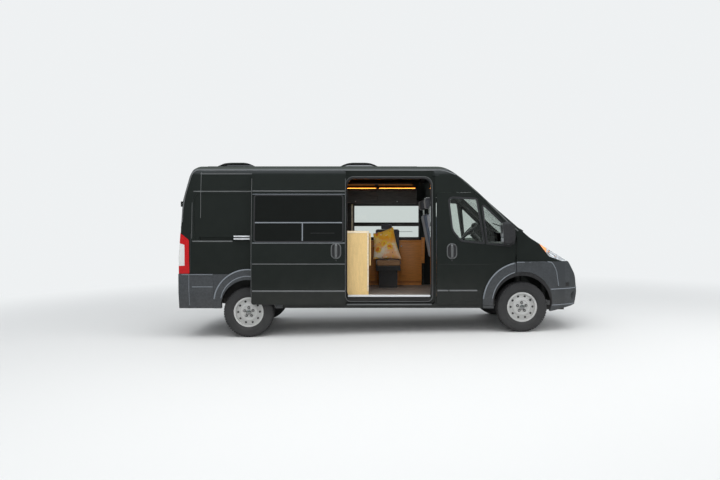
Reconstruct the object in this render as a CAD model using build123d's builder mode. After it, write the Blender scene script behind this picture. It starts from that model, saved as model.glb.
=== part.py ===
from build123d import *

import math
import os
from functools import cache

# A high-roof camper van at its real size, in millimetres: +X forward, +Y to the left, +Z up.
# The body is drawn level, and at the end every piece is tipped by RAKE, because the parked
# van stands nose-down on its springs. The origin is on the ground under the body's middle.

# Stance and axles
RAKE = 1.1
RAKE_PIVOT_Z = 600
WHEELBASE = 4035
FRONT_AXLE_X = 2051
FRONT_TRACK = 1810
REAR_TRACK = 1790
STEER_LEAN = 10
KINGPIN_Y = 800
KINGPIN_BELOW_HUB = 159

# Body envelope
TAIL_X = -2989
NOSE_X = 3003
HALF_WIDTH = 1025
SILL_Z = 391
SILL_TUCK = 40
WIDEST_Z = 640
WAIST_CREASE_Z = 1080
CANT_Z = 2114
CANT_HALF = 945
GUTTER_Z = 2432
GUTTER_HALF = 893
ROOF_Z = 2530
CROWN_HALF = 560
NOSE_CENTRE_X = -1400
SCREEN_FOOT_X = 2300
SCREEN_FOOT_Z = 1428
SCREEN_HEAD_X = 1060
HOOD_LIP_X = 2850
HOOD_LIP_Z = 1075
WALL = 60
SEAM = 5
GLASS_SINK = 1
GLASS = 6
TIGHT = 0.3

# Trim that stands proud of the body
BUMPER_PROUD = 10
BUMPER_BACK = 40
FLARE_PROUD = 25
LAMP_PROUD = 4
LAMP_DEPTH = 50

# Side doors
DOOR_REAR_X = 790
DOOR_FRONT_X = 1955
DOOR_FOOT_Z = 440
DOOR_TOP_Z = 2098
DOOR_HINGE_Y = 1055
DOOR_INNER_Y = 870
HINGE_AHEAD = 7
TRIM_SETBACK = 3
SLIDER_REAR_X = -615
SLIDER_FRONT_X = 765
SLIDER_FOOT_Z = 455
SLIDER_TOP_Z = 2420
SLIDER_THICK = 40
SLIDER_BACK = 1307
SLIDER_OUT = 85
REBATE = 45
DOORWAY_REAR_X = -523
DOORWAY_FRONT_X = 708
DOORWAY_TOP_Z = 2303
FLOOR_Z = 560
FLOOR_THICK = 25
RAIL_Z = 1420
RAIL_REAR_X = -2700
RAIL_HEIGHT = 40
RAIL_DEPTH = 28

# Rear doors
REAR_DOOR_HALF = 846
REAR_POST_HALF = 852
REAR_DOOR_FOOT_Z = 570
REAR_DOOR_TOP_Z = 2368
REAR_DOOR_THICK = 55
REAR_HINGE_OUT = 11
REAR_HINGE_Y = 850
REAR_DOOR_MEETING = 3
REAR_TRIM_HALF = 866
REAR_HEADER_Z = 2375

# Side windows: one top pane over two sliding lower panes
WINDOW_REAR_X = -570
WINDOW_FRONT_X = 720
WINDOW_FOOT_Z = 1375
WINDOW_TOP_Z = 2050
WINDOW_BAR_Z = 1652
WINDOW_SPLIT_X = 131
WINDOW_BAR = 24

# Wheels
TYRE_RADIUS = 370
TYRE_WIDTH = 225
BEAD_RADIUS = 203
RIM_WIDTH = 160
RIM_FLANGE = 17
SPINDLE_RADIUS = 30
FRONT_ARCH_RADIUS = 432
FRONT_ARCH_Z = 503
FRONT_FLARE_RADIUS = 586
FRONT_FLARE_Z = 493
REAR_ARCH_RADIUS = 400
REAR_ARCH_Z = 415
REAR_FLARE_RADIUS = 507
REAR_FLARE_Z = 463
HOUSE_GAP = 38
HOUSE_THICK = 12
FRONT_HOUSE_Y = 548
REAR_HOUSE_Y = 745

# Steering wheel
STEERING_X = 1522
STEERING_Y = 450
STEERING_Z = 1519
STEERING_RADIUS = 192
STEERING_SLOPE = 45

# Clear of the body on every side, and a line in front of the rear doors
OUT = 1400
BELOW = 200
ABOVE = 2800
BEHIND = TAIL_X - 99
AHEAD = NOSE_X + 97
REAR_LANE_X = -2600


def in_body(x, z):
    """Where a point of the road frame lies in the level body frame."""
    tilt = math.radians(RAKE)
    rise = z - RAKE_PIVOT_Z
    return (x * math.cos(tilt) - rise * math.sin(tilt),
            RAKE_PIVOT_Z + x * math.sin(tilt) + rise * math.cos(tilt))


FRONT_HUB_X, FRONT_HUB_Z = in_body(FRONT_AXLE_X, TYRE_RADIUS)
REAR_HUB_X, REAR_HUB_Z = in_body(FRONT_AXLE_X - WHEELBASE, TYRE_RADIUS)


def outline(corners, grow=0):
    """A closed outline from rows of (across, up, corner radius), with an even margin."""
    with BuildSketch(mode=Mode.PRIVATE) as face:
        with BuildLine():
            Polyline(*[(a, b) for a, b, _ in corners], close=True)
        make_face()
        for a, b, radius in corners:
            if radius:
                fillet(face.vertices().sort_by_distance((a, b))[0], radius)
        if grow:
            offset(amount=grow, kind=Kind.INTERSECTION)
    return face.sketch


def across(corners, low_y=-OUT, high_y=OUT, grow=0):
    """A block whose outline, in rows of (x, z, radius), shows from the side."""
    with BuildPart(mode=Mode.PRIVATE) as block:
        with BuildSketch(Plane.XZ.offset(-high_y)):
            add(outline(corners, grow))
        extrude(amount=high_y - low_y)
    return block.part


def along(corners, low_x, high_x, grow=0):
    """A block whose outline, in rows of (y, z, radius), shows from the front."""
    with BuildPart(mode=Mode.PRIVATE) as block:
        with BuildSketch(Plane.YZ.offset(low_x)):
            add(outline(corners, grow))
        extrude(amount=high_x - low_x)
    return block.part


def upward(corners, low_z=BELOW, high_z=ABOVE, grow=0):
    """A block whose outline, in rows of (x, y, radius), shows from above."""
    with BuildPart(mode=Mode.PRIVATE) as block:
        with BuildSketch(Plane.XY.offset(low_z)):
            add(outline(corners, grow))
        extrude(amount=high_z - low_z)
    return block.part


def block(low, high):
    """A plain block between two corners, used to cut out a region."""
    (x0, y0, z0), (x1, y1, z1) = low, high
    return upward([(x0, y0, 0), (x1, y0, 0), (x1, y1, 0), (x0, y1, 0)], z0, z1)


def disc(x, z, radius, low_y=-OUT, high_y=OUT):
    """A round bar that lies across the van."""
    with BuildPart(mode=Mode.PRIVATE) as bar:
        with BuildSketch(Plane.XZ.offset(-high_y)):
            with Locations((x, z)):
                Circle(radius)
        extrude(amount=high_y - low_y)
    return bar.part


def post(x, y, radius, low_z=BELOW, high_z=ABOVE):
    """An upright round bar."""
    with BuildPart(mode=Mode.PRIVATE) as bar:
        with BuildSketch(Plane.XY.offset(low_z)):
            with Locations((x, y)):
                Circle(radius)
        extrude(amount=high_z - low_z)
    return bar.part


def common(first, *others):
    """What several blocks share."""
    with BuildPart(mode=Mode.PRIVATE) as shared:
        add(first)
        for other in others:
            add(other, mode=Mode.INTERSECT)
    return shared.part


def cut(first, *others):
    """A block with others cut away from it."""
    with BuildPart(mode=Mode.PRIVATE) as rest:
        add(first)
        for other in others:
            add(other, mode=Mode.SUBTRACT)
    return rest.part


def joined(*blocks):
    """Several blocks as one."""
    with BuildPart(mode=Mode.PRIVATE) as whole:
        for each in blocks:
            add(each)
    return whole.part


def section_rows(bottom):
    """The body's right half seen from behind, as (y, z, radius)."""
    below_sill = [(HALF_WIDTH - SILL_TUCK, bottom, 0)] if bottom < SILL_Z else []
    return below_sill + [
        (HALF_WIDTH - SILL_TUCK, SILL_Z, 25),
        (HALF_WIDTH, WIDEST_Z, 200),
        (HALF_WIDTH, WAIST_CREASE_Z, 300),
        (CANT_HALF, CANT_Z, 400),
        (GUTTER_HALF, GUTTER_Z, 120),
        (CROWN_HALF, ROOF_Z, 1600),
    ]


def nose_rows(bottom):
    """The front's profile on the centreline, as (x, z, radius)."""
    below_sill = [(NOSE_X - 50, bottom, 0)] if bottom < SILL_Z else []
    return below_sill + [
        (NOSE_X - 50, SILL_Z, 0),
        (NOSE_X, 600, 250),
        (NOSE_X - 32, 860, 300),
        (HOOD_LIP_X, HOOD_LIP_Z, 160),
        (SCREEN_FOOT_X, SCREEN_FOOT_Z, 250),
        (SCREEN_HEAD_X, ROOF_Z, 700),
    ]


def tail_rows(bottom):
    """The rear's profile, which leans forward towards the roof, as (x, z, radius)."""
    front = NOSE_X + 200
    return [
        (TAIL_X, bottom, 0),
        (TAIL_X, 1150, 600),
        (TAIL_X + 40, 1960, 500),
        (TAIL_X + 135, 2340, 300),
        (TAIL_X + 245, ROOF_Z + 70, 0),
        (front, ROOF_Z + 70, 0),
        (front, bottom, 0),
    ]


# The body from above, right half, as (x, y, radius)
PLAN_ROWS = [
    (TAIL_X - 111, HALF_WIDTH + 20, 0),
    (1800, HALF_WIDTH + 20, 900),
    (2480, HALF_WIDTH - 40, 500),
    (2790, HALF_WIDTH - 165, 400),
    (NOSE_X + 111, HALF_WIDTH - 545, 0),
]


@cache
def hull(inset=0, bottom=SILL_Z):
    """The body's closed outer form, drawn in by an even amount."""
    right = section_rows(bottom)
    left = [(-y, z, radius) for y, z, radius in reversed(right)]
    seam_x = 2 * NOSE_CENTRE_X
    nose = [(seam_x - x, z, radius) for x, z, radius in nose_rows(bottom)]
    core = [(seam_x + 3000, bottom, 0)] + nose + [(seam_x + 3000, ROOF_Z, 0)]
    mirrored_plan = [(x, -y, radius) for x, y, radius in reversed(PLAN_ROWS)]
    with BuildPart(mode=Mode.PRIVATE) as form:
        with BuildSketch(Plane.YZ.offset(TAIL_X - 211)):
            add(outline(right + left, -inset))
        extrude(amount=NOSE_X - TAIL_X + 422)
        with BuildSketch(Plane.XZ):
            add(outline(core, -inset))
            split(bisect_by=Plane(origin=(NOSE_CENTRE_X, 0, 0), z_dir=(-1, 0, 0)), keep=Keep.TOP)
        revolve(axis=Axis((NOSE_CENTRE_X, 0, 0), (0, 0, 1)), mode=Mode.INTERSECT)
        with BuildSketch(Plane.XZ.offset(-OUT)):
            add(outline(tail_rows(bottom), -inset))
        extrude(amount=2 * OUT, mode=Mode.INTERSECT)
        with BuildSketch(Plane.XY):
            add(outline(PLAN_ROWS + mirrored_plan, -inset))
        extrude(amount=ABOVE, mode=Mode.INTERSECT)
    return form.part


@cache
def skin(outer, inner, bottom=SILL_Z):
    """The wall between two inset depths, open below."""
    with BuildPart(mode=Mode.PRIVATE) as wall:
        add(hull(outer, bottom))
        add(hull(inner, BELOW), mode=Mode.SUBTRACT)
    return wall.part


def seen_right(corners, grow=0):
    """A block through the right side wall alone."""
    return across(corners, -OUT, -FRONT_HOUSE_Y + 200, grow)


def pressed(rear_x, front_x):
    """The outline of one pressed panel, through the right side wall."""
    return seen_right([(rear_x, PRESSING_FOOT_Z, 40), (front_x, PRESSING_FOOT_Z, 40),
                       (front_x, PRESSING_TOP_Z, 60), (rear_x, PRESSING_TOP_Z, 60)])


# Openings and outlines, seen from the side as (x, z, radius)
FRONT_DOOR = [
    (DOOR_REAR_X, DOOR_FOOT_Z, 30),
    (DOOR_REAR_X, DOOR_TOP_Z, 60),
    (1345, DOOR_TOP_Z, 90),
    (DOOR_FRONT_X, 1530, 60),
    (DOOR_FRONT_X, DOOR_FOOT_Z, 0),
]
REAR_PANE = [(967, 2030, 60), (1022, 1540, 200), (1150, 1382, 110), (1495, 1347, 15), (1387, 2006, 30)]
FRONT_PANE = [(1462, 1936, 20), (1530, 1343, 15), (1885, 1312, 25), (1885, 1535, 25)]
SLIDER = [
    (SLIDER_REAR_X, SLIDER_FOOT_Z, 30),
    (SLIDER_FRONT_X, SLIDER_FOOT_Z, 30),
    (SLIDER_FRONT_X, SLIDER_TOP_Z, 40),
    (SLIDER_REAR_X, SLIDER_TOP_Z, 40),
]
DOORWAY = [
    (DOORWAY_REAR_X, FLOOR_Z + 5, 70),
    (DOORWAY_FRONT_X, FLOOR_Z + 5, 70),
    (DOORWAY_FRONT_X, DOORWAY_TOP_Z, 110),
    (DOORWAY_REAR_X, DOORWAY_TOP_Z, 110),
]
HALF_BAR = WINDOW_BAR / 2
WINDOW_PANES = [
    [
        (WINDOW_REAR_X, WINDOW_TOP_Z, 35),
        (WINDOW_FRONT_X, WINDOW_TOP_Z, 35),
        (WINDOW_FRONT_X, WINDOW_BAR_Z + HALF_BAR, 6),
        (WINDOW_REAR_X, WINDOW_BAR_Z + HALF_BAR, 6),
    ],
    [
        (WINDOW_REAR_X, WINDOW_BAR_Z - HALF_BAR, 6),
        (WINDOW_SPLIT_X - HALF_BAR, WINDOW_BAR_Z - HALF_BAR, 6),
        (WINDOW_SPLIT_X - HALF_BAR, WINDOW_FOOT_Z, 6),
        (WINDOW_REAR_X, WINDOW_FOOT_Z, 35),
    ],
    [
        (WINDOW_SPLIT_X + HALF_BAR, WINDOW_BAR_Z - HALF_BAR, 6),
        (WINDOW_FRONT_X, WINDOW_BAR_Z - HALF_BAR, 6),
        (WINDOW_FRONT_X, WINDOW_FOOT_Z, 35),
        (WINDOW_SPLIT_X + HALF_BAR, WINDOW_FOOT_Z, 6),
    ],
]
PRESSING_FOOT_Z = 1378
PRESSING_TOP_Z = 2075
PRESSING_DEPTH = 7
# Pressed panels of the load space, as (rear x, front x)
PRESSINGS = [(-2775, -1990), (-1900, -690)]
TAIL_LAMP = [
    (TAIL_X + 152, 905, 12),
    (TAIL_X + 139, 1400, 40),
    (TAIL_X - 60, 1555, 0),
    (TAIL_X - 60, 905, 0),
]
HEADLAMP = [
    (2282, 1362, 20),
    (2451, 1153, 60),
    (2670, WAIST_CREASE_Z - 1, 40),
    (NOSE_X + 100, WAIST_CREASE_Z - 1, 0),
    (NOSE_X + 100, 1600, 0),
    (2310, 1600, 0),
]
BUMPER_TOP_Z = WAIST_CREASE_Z - 1
WING_X = DOOR_FRONT_X + SEAM
WING_TOP_Z = 1480

# The windscreen, seen from the front as (y, z, radius)
SCREEN_FOOT_HALF = 880
SCREEN_HEAD_HALF = 700
SCREEN_HEAD_Z = 2330
HEADER_DROP = 80
SCREEN = [
    (-SCREEN_FOOT_HALF, WING_TOP_Z, 60),
    (SCREEN_FOOT_HALF, WING_TOP_Z, 60),
    (SCREEN_HEAD_HALF, SCREEN_HEAD_Z, 60),
    (-SCREEN_HEAD_HALF, SCREEN_HEAD_Z, 60),
]
SCREEN_FROM_X = 1150

# The hood, seen from above as (x, y, radius)
HOOD_REAR_X = 2350
HOOD_REAR_HALF = 750
HOOD_FRONT_HALF = 560
HOOD_THICK = 14
HOOD_GAP = 10
HOOD = [
    (HOOD_REAR_X, -HOOD_REAR_HALF, 0),
    (HOOD_REAR_X + 110, -HOOD_REAR_HALF, 80),
    (HOOD_LIP_X - 20, -HOOD_FRONT_HALF, 0),
    (NOSE_X + 60, -HOOD_FRONT_HALF, 0),
    (NOSE_X + 60, HOOD_FRONT_HALF, 0),
    (HOOD_LIP_X - 20, HOOD_FRONT_HALF, 0),
    (HOOD_REAR_X + 110, HOOD_REAR_HALF, 80),
    (HOOD_REAR_X, HOOD_REAR_HALF, 0),
]
HOOD_LANE = [(HOOD_REAR_X - 150, -HOOD_REAR_HALF, 0)] + HOOD[1:-1] + [(HOOD_REAR_X - 150, HOOD_REAR_HALF, 0)]
HOOD_EDGE_Z = BUMPER_TOP_Z + SEAM

front_arch = disc(FRONT_HUB_X, FRONT_ARCH_Z, FRONT_ARCH_RADIUS)
rear_arch = disc(REAR_HUB_X, REAR_ARCH_Z, REAR_ARCH_RADIUS)
between_lamps = block((BEHIND, -REAR_TRIM_HALF, BELOW), (REAR_LANE_X, REAR_TRIM_HALF, ABOVE))
tail_lamp_blocks = cut(across(TAIL_LAMP), between_lamps)
headlamp_blocks = cut(across(HEADLAMP), upward(HOOD_LANE, grow=HOOD_GAP))
rear_opening = block((BEHIND, -REAR_POST_HALF, BELOW), (REAR_LANE_X, REAR_POST_HALF, REAR_HEADER_Z))

pieces = {}


def mirrored(right):
    """The same piece on the other side of the van."""
    with BuildPart(mode=Mode.PRIVATE) as left:
        mirror(right, about=Plane.XZ)
    return left.part


header = block((SCREEN_FROM_X, -SCREEN_HEAD_HALF, SCREEN_HEAD_Z), (NOSE_X, SCREEN_HEAD_HALF, ABOVE))
rear_header = block((BEHIND, -REAR_POST_HALF, REAR_HEADER_Z), (REAR_LANE_X, REAR_POST_HALF, ABOVE))
cap = block((BEHIND, -OUT, GUTTER_Z), (NOSE_X, OUT, ABOVE))
roof_zone = joined(cap, header, rear_header)

# Body side: one wall from the tail lamps to the windscreen pillar, the same on both sides
with BuildPart() as body_side:
    add(skin(0, WALL))
    add(block((BEHIND, -OUT, BELOW), (NOSE_X, 0, GUTTER_Z)), mode=Mode.INTERSECT)
    add(rear_opening, mode=Mode.SUBTRACT)
    add(along(SCREEN, SCREEN_FROM_X, NOSE_X), mode=Mode.SUBTRACT)
    add(roof_zone, mode=Mode.SUBTRACT)
    under_header = (SCREEN_FROM_X, -SCREEN_HEAD_HALF, SCREEN_HEAD_Z - HEADER_DROP)
    add(block(under_header, (NOSE_X, 0, ABOVE)), mode=Mode.SUBTRACT)
    add(block((WING_X, -OUT, BELOW), (NOSE_X, OUT, WING_TOP_Z)), mode=Mode.SUBTRACT)
    add(seen_right(FRONT_DOOR, SEAM), mode=Mode.SUBTRACT)
    add(front_arch, mode=Mode.SUBTRACT)
    add(rear_arch, mode=Mode.SUBTRACT)
    add(tail_lamp_blocks, mode=Mode.SUBTRACT)
    for rear_x, front_x in PRESSINGS:
        add(common(skin(-GLASS, PRESSING_DEPTH), pressed(rear_x, front_x)), mode=Mode.SUBTRACT)

pillar_block = block((DOORWAY_FRONT_X, -OUT, FLOOR_Z), (DOOR_REAR_X - SEAM, 0, GUTTER_Z))
with BuildPart() as side_pillar:
    add(skin(REBATE, 2 * WALL))
    add(pillar_block, mode=Mode.INTERSECT)

with BuildPart() as side_panel_left:
    add(mirrored(body_side.part))
    add(mirrored(side_pillar.part))
    for pane in WINDOW_PANES:
        add(across(pane, 0, OUT), mode=Mode.SUBTRACT)
pieces["side_panel_left"] = side_panel_left

rail_lane = block((RAIL_REAR_X, -OUT, RAIL_Z - RAIL_HEIGHT / 2), (SLIDER_REAR_X, 0, RAIL_Z + RAIL_HEIGHT / 2))
rail_groove = common(skin(-GLASS, RAIL_DEPTH), rail_lane)
with BuildPart() as side_panel_right:
    add(body_side.part)
    add(side_pillar.part)
    add(common(skin(-GLASS, REBATE), seen_right(SLIDER, SEAM)), mode=Mode.SUBTRACT)
    add(seen_right(DOORWAY), mode=Mode.SUBTRACT)
    add(rail_groove, mode=Mode.SUBTRACT)
pieces["side_panel_right"] = side_panel_right

# Roof cap with its front header over the windscreen and its rear header over the doors
with BuildPart() as roof:
    add(skin(0, WALL))
    add(roof_zone, mode=Mode.INTERSECT)
pieces["roof"] = roof

# Wings, cowl, firewall and wheel houses, welded into one front end
FIREWALL_X = 2150
FIREWALL_THICK = 15
CLOSING_X = 1975
HOUSE_RADIUS = FRONT_ARCH_RADIUS + HOUSE_GAP
HOUSE_FLOOR_Z = 480
HOUSE_INSET = 10
house_outer = disc(FRONT_HUB_X, FRONT_ARCH_Z, HOUSE_RADIUS + HOUSE_THICK)
house_inner = disc(FRONT_HUB_X, FRONT_ARCH_Z, HOUSE_RADIUS)
above_sill = block((0, -OUT, HOUSE_FLOOR_Z), (NOSE_X, OUT, ABOVE))
between_houses = block((0, -FRONT_HOUSE_Y, BELOW), (NOSE_X, FRONT_HOUSE_Y, ABOVE))
house_core = block((0, -FRONT_HOUSE_Y - HOUSE_THICK, BELOW), (NOSE_X, FRONT_HOUSE_Y + HOUSE_THICK, ABOVE))

# Firewall across the van, and the panel that closes the wing behind the wheel house
firewall = block((FIREWALL_X, -OUT, HOUSE_FLOOR_Z), (FIREWALL_X + FIREWALL_THICK, OUT, ABOVE))
closing = block((CLOSING_X, -OUT, FRONT_ARCH_Z), (CLOSING_X + FIREWALL_THICK, OUT, WING_TOP_Z))
bulkhead_zone = block((0, -OUT, BELOW), (NOSE_X, OUT, WING_TOP_Z - WALL))
both_walls = joined(firewall, cut(closing, between_houses))
bulkheads = cut(common(both_walls, hull(WALL, BELOW), bulkhead_zone), cut(house_outer, between_houses))

# Wheel houses, drawn in behind the door and let out to the bumper
house_arches = cut(house_outer, house_inner, between_houses)
house_walls = common(house_outer, cut(house_core, between_houses))
wheel_houses = common(joined(house_arches, house_walls), above_sill)
behind_door_edge = block((0, -OUT, BELOW), (WING_X, OUT, ABOVE))
behind_wing = block((WING_X, -OUT, BELOW), (NOSE_X, OUT, ABOVE))
with BuildPart() as front_end:
    add(skin(0, WALL))
    add(block((WING_X, -OUT, BUMPER_TOP_Z), (NOSE_X, OUT, WING_TOP_Z)), mode=Mode.INTERSECT)
    add(along(SCREEN, SCREEN_FROM_X, NOSE_X), mode=Mode.SUBTRACT)
    add(upward(HOOD, grow=HOOD_GAP), mode=Mode.SUBTRACT)
    add(headlamp_blocks, mode=Mode.SUBTRACT)
    add(bulkheads)
    add(common(wheel_houses, hull(WALL + HOUSE_INSET, BELOW), behind_door_edge))
    add(common(wheel_houses, hull(BUMPER_BACK, BELOW), behind_wing))
pieces["front_end"] = front_end

# Front bumper, which carries the front half of each flare
GRILLE_HALF = 520
GRILLE_FOOT_Z = 520
GRILLE_TOP_Z = 980
GRILLE_FROM_X = 2700
GRILLE = [
    (-GRILLE_HALF, GRILLE_FOOT_Z, 60),
    (GRILLE_HALF, GRILLE_FOOT_Z, 60),
    (GRILLE_HALF + 40, GRILLE_TOP_Z, 60),
    (-GRILLE_HALF - 40, GRILLE_TOP_Z, 60),
]
BUMPER_LOW_Z = 352
FOG_FROM_X = 2600
FOG_Y = 770
FOG_Z = 560
FOG_RADIUS = 60
EYE_Y = -430
EYE_Z = 478
EYE_RADIUS = 11
EYE_BOSS_RADIUS = 24
EYE_CLEARANCE = 8
EYE_LENGTH = 70
BUMPER = [
    (WING_X, BUMPER_LOW_Z, 0),
    (2480, BUMPER_LOW_Z, 60),
    (NOSE_X + 60, BUMPER_LOW_Z + 100, 0),
    (NOSE_X + 60, BUMPER_TOP_Z, 0),
    (WING_X, BUMPER_TOP_Z, 0),
]
flare_ring = disc(FRONT_HUB_X, FRONT_FLARE_Z, FRONT_FLARE_RADIUS)
with BuildPart() as front_bumper:
    add(skin(-BUMPER_PROUD, BUMPER_BACK, BUMPER_LOW_Z - 20))
    add(common(skin(-FLARE_PROUD, 0, BUMPER_LOW_Z - 20), flare_ring))
    add(across(BUMPER), mode=Mode.INTERSECT)
    add(front_arch, mode=Mode.SUBTRACT)
    add(along(GRILLE, GRILLE_FROM_X, AHEAD), mode=Mode.SUBTRACT)
    with BuildSketch(Plane.YZ.offset(FOG_FROM_X)):
        with Locations((FOG_Y, FOG_Z), (-FOG_Y, FOG_Z)):
            Circle(FOG_RADIUS)
        with Locations((EYE_Y, EYE_Z)):
            Circle(EYE_BOSS_RADIUS + EYE_CLEARANCE)
    extrude(amount=AHEAD - FOG_FROM_X, mode=Mode.SUBTRACT)
pieces["front_bumper"] = front_bumper

# Grille: curved blades between a frame and posts, on the same curve as the bumper
GRILLE_BLADES = 6
BLADE_HEIGHT = 24
GRILLE_POSTS = 3
POST_WIDTH = 22
GRILLE_FRAME = 26
GRILLE_SINK = 8
GRILLE_DEPTH = 26
grille_mid_z = (GRILLE_FOOT_Z + GRILLE_TOP_Z) / 2
blade_pitch = (GRILLE_TOP_Z - GRILLE_FOOT_Z - GRILLE_FRAME) / (GRILLE_BLADES + 1)
post_pitch = 2 * GRILLE_HALF / (GRILLE_POSTS + 1)
with BuildPart() as grille:
    with BuildSketch(Plane.YZ.offset(GRILLE_FROM_X)):
        add(outline(GRILLE))
        add(outline(GRILLE, -GRILLE_FRAME), mode=Mode.SUBTRACT)
        with Locations((0, grille_mid_z)):
            with GridLocations(1, blade_pitch, 1, GRILLE_BLADES):
                Rectangle(2 * GRILLE_HALF, BLADE_HEIGHT)
            with GridLocations(post_pitch, 1, GRILLE_POSTS, 1):
                Rectangle(POST_WIDTH, GRILLE_TOP_Z - GRILLE_FOOT_Z - GRILLE_FRAME)
    extrude(amount=AHEAD - GRILLE_FROM_X)
    add(skin(GRILLE_SINK, GRILLE_SINK + GRILLE_DEPTH, BUMPER_LOW_Z), mode=Mode.INTERSECT)
pieces["grille"] = grille

# Lamps
with BuildPart() as headlamps:
    add(skin(0, WALL))
    add(headlamp_blocks, mode=Mode.INTERSECT)
pieces["headlamps"] = headlamps

with BuildPart() as tail_lamps:
    add(skin(-LAMP_PROUD, LAMP_DEPTH))
    add(tail_lamp_blocks, mode=Mode.INTERSECT)
pieces["tail_lamps"] = tail_lamps

# Rear bumper: a cover round each corner and a step below the doors
REAR_BUMPER_FRONT_X = -2486
REAR_BUMPER_TOP_Z = 902
STEP_TOP_Z = 545
corner_zone = block((BEHIND, -OUT, SILL_Z), (REAR_BUMPER_FRONT_X, OUT, REAR_BUMPER_TOP_Z))
above_step = block((BEHIND, -REAR_TRIM_HALF, STEP_TOP_Z), (REAR_LANE_X, REAR_TRIM_HALF, ABOVE))
step_lane = block((BEHIND, -REAR_POST_HALF, SILL_Z), (REAR_LANE_X, REAR_POST_HALF, STEP_TOP_Z))
with BuildPart() as rear_bumper:
    add(common(skin(-BUMPER_PROUD, 0), cut(corner_zone, above_step)))
    add(common(skin(-BUMPER_PROUD, WALL), step_lane))
pieces["rear_bumper"] = rear_bumper

# Rear wheel flares and the foot of each front flare on the sill
rear_flare = disc(REAR_HUB_X, REAR_FLARE_Z, REAR_FLARE_RADIUS)
flare_zone = block((REAR_BUMPER_FRONT_X, -OUT, SILL_Z), (0, OUT, ABOVE))
sill_zone = block((0, -OUT, SILL_Z), (WING_X - SEAM, OUT, DOOR_FOOT_Z - SEAM))
with BuildPart() as side_cladding:
    add(common(skin(-FLARE_PROUD, 0), rear_flare, flare_zone))
    add(common(skin(-FLARE_PROUD, 0), flare_ring, sill_zone))
    add(rear_arch, mode=Mode.SUBTRACT)
    add(front_arch, mode=Mode.SUBTRACT)
pieces["side_cladding"] = side_cladding

# Glass fixed to the body
with BuildPart() as windscreen:
    add(skin(GLASS_SINK, GLASS_SINK + GLASS))
    add(along(SCREEN, SCREEN_FROM_X, NOSE_X), mode=Mode.INTERSECT)
pieces["windscreen"] = windscreen

# Front doors, with the rear half of each front flare as a piece of its own
HINGE_X = DOOR_FRONT_X + HINGE_AHEAD
door_sweep = post(HINGE_X, -DOOR_HINGE_Y, HINGE_X - DOOR_REAR_X)
with BuildPart() as front_door_right:
    add(skin(0, WALL))
    add(across(FRONT_DOOR, -OUT, -DOOR_INNER_Y), mode=Mode.INTERSECT)
    add(front_arch, mode=Mode.SUBTRACT)
    add(door_sweep, mode=Mode.INTERSECT)
    add(seen_right(REAR_PANE), mode=Mode.SUBTRACT)
    add(seen_right(FRONT_PANE), mode=Mode.SUBTRACT)

pane_wall = skin(GLASS_SINK, GLASS_SINK + GLASS)
with BuildPart() as front_door_glass_right:
    add(common(pane_wall, seen_right(REAR_PANE)))
    add(common(pane_wall, seen_right(FRONT_PANE)))

door_zone = block((0, -OUT, DOOR_FOOT_Z), (DOOR_FRONT_X - TRIM_SETBACK, 0, ABOVE))
with BuildPart() as door_trim_right:
    add(common(skin(-FLARE_PROUD, 0), flare_ring, door_zone))
    add(front_arch, mode=Mode.SUBTRACT)

# Sliding door, parked open beside the body
SHIFT = Location((-SLIDER_BACK, -SLIDER_OUT, 0))
with BuildPart() as door_closed:
    add(skin(0, SLIDER_THICK))
    add(seen_right(SLIDER), mode=Mode.INTERSECT)
    for pane in WINDOW_PANES:
        add(seen_right(pane), mode=Mode.SUBTRACT)
with BuildPart() as sliding_door:
    add(door_closed.part.moved(SHIFT))
pieces["sliding_door"] = sliding_door

with BuildPart() as side_windows:
    for pane in WINDOW_PANES:
        add(common(pane_wall, across(pane, 0, OUT)))
        add(common(pane_wall, seen_right(pane)).moved(SHIFT))
pieces["side_windows"] = side_windows

# Three arms carry the open door: one in the rail, two at the door's front edge, as (x0, x1, z0, z1, depth)
SLIDER_OPEN_REAR_X = SLIDER_REAR_X - SLIDER_BACK
SLIDER_OPEN_FRONT_X = SLIDER_FRONT_X - SLIDER_BACK
ARM_FRONT_X = SLIDER_OPEN_FRONT_X - 15
CARRIAGE_X = SLIDER_OPEN_REAR_X - 260
ARMS = [
    (CARRIAGE_X, SLIDER_OPEN_REAR_X + 30, RAIL_Z - 22, RAIL_Z + 32, 0),
    (SLIDER_REAR_X, ARM_FRONT_X, SLIDER_FOOT_Z + 25, SLIDER_FOOT_Z + 50, REBATE),
    (SLIDER_REAR_X, ARM_FRONT_X, SLIDER_TOP_Z - 90, SLIDER_TOP_Z - 65, REBATE),
]
# The roller in the rail, as (start behind the carriage's rear end, length, half height)
ROLLER = (30, 100, 15)
behind_door = hull(SLIDER_THICK).moved(Location((0, -SLIDER_OUT, 0)))
roller_x = CARRIAGE_X + ROLLER[0]
roller = block((roller_x, -OUT, RAIL_Z - ROLLER[2]), (roller_x + ROLLER[1], 0, RAIL_Z + ROLLER[2]))
with BuildPart() as door_carriers:
    for x0, x1, z0, z1, depth in ARMS:
        add(cut(common(block((x0, -OUT, z0), (x1, 0, z1)), behind_door), hull(depth)))
    add(common(skin(0, RAIL_DEPTH), roller))
pieces["door_carriers"] = door_carriers

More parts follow.
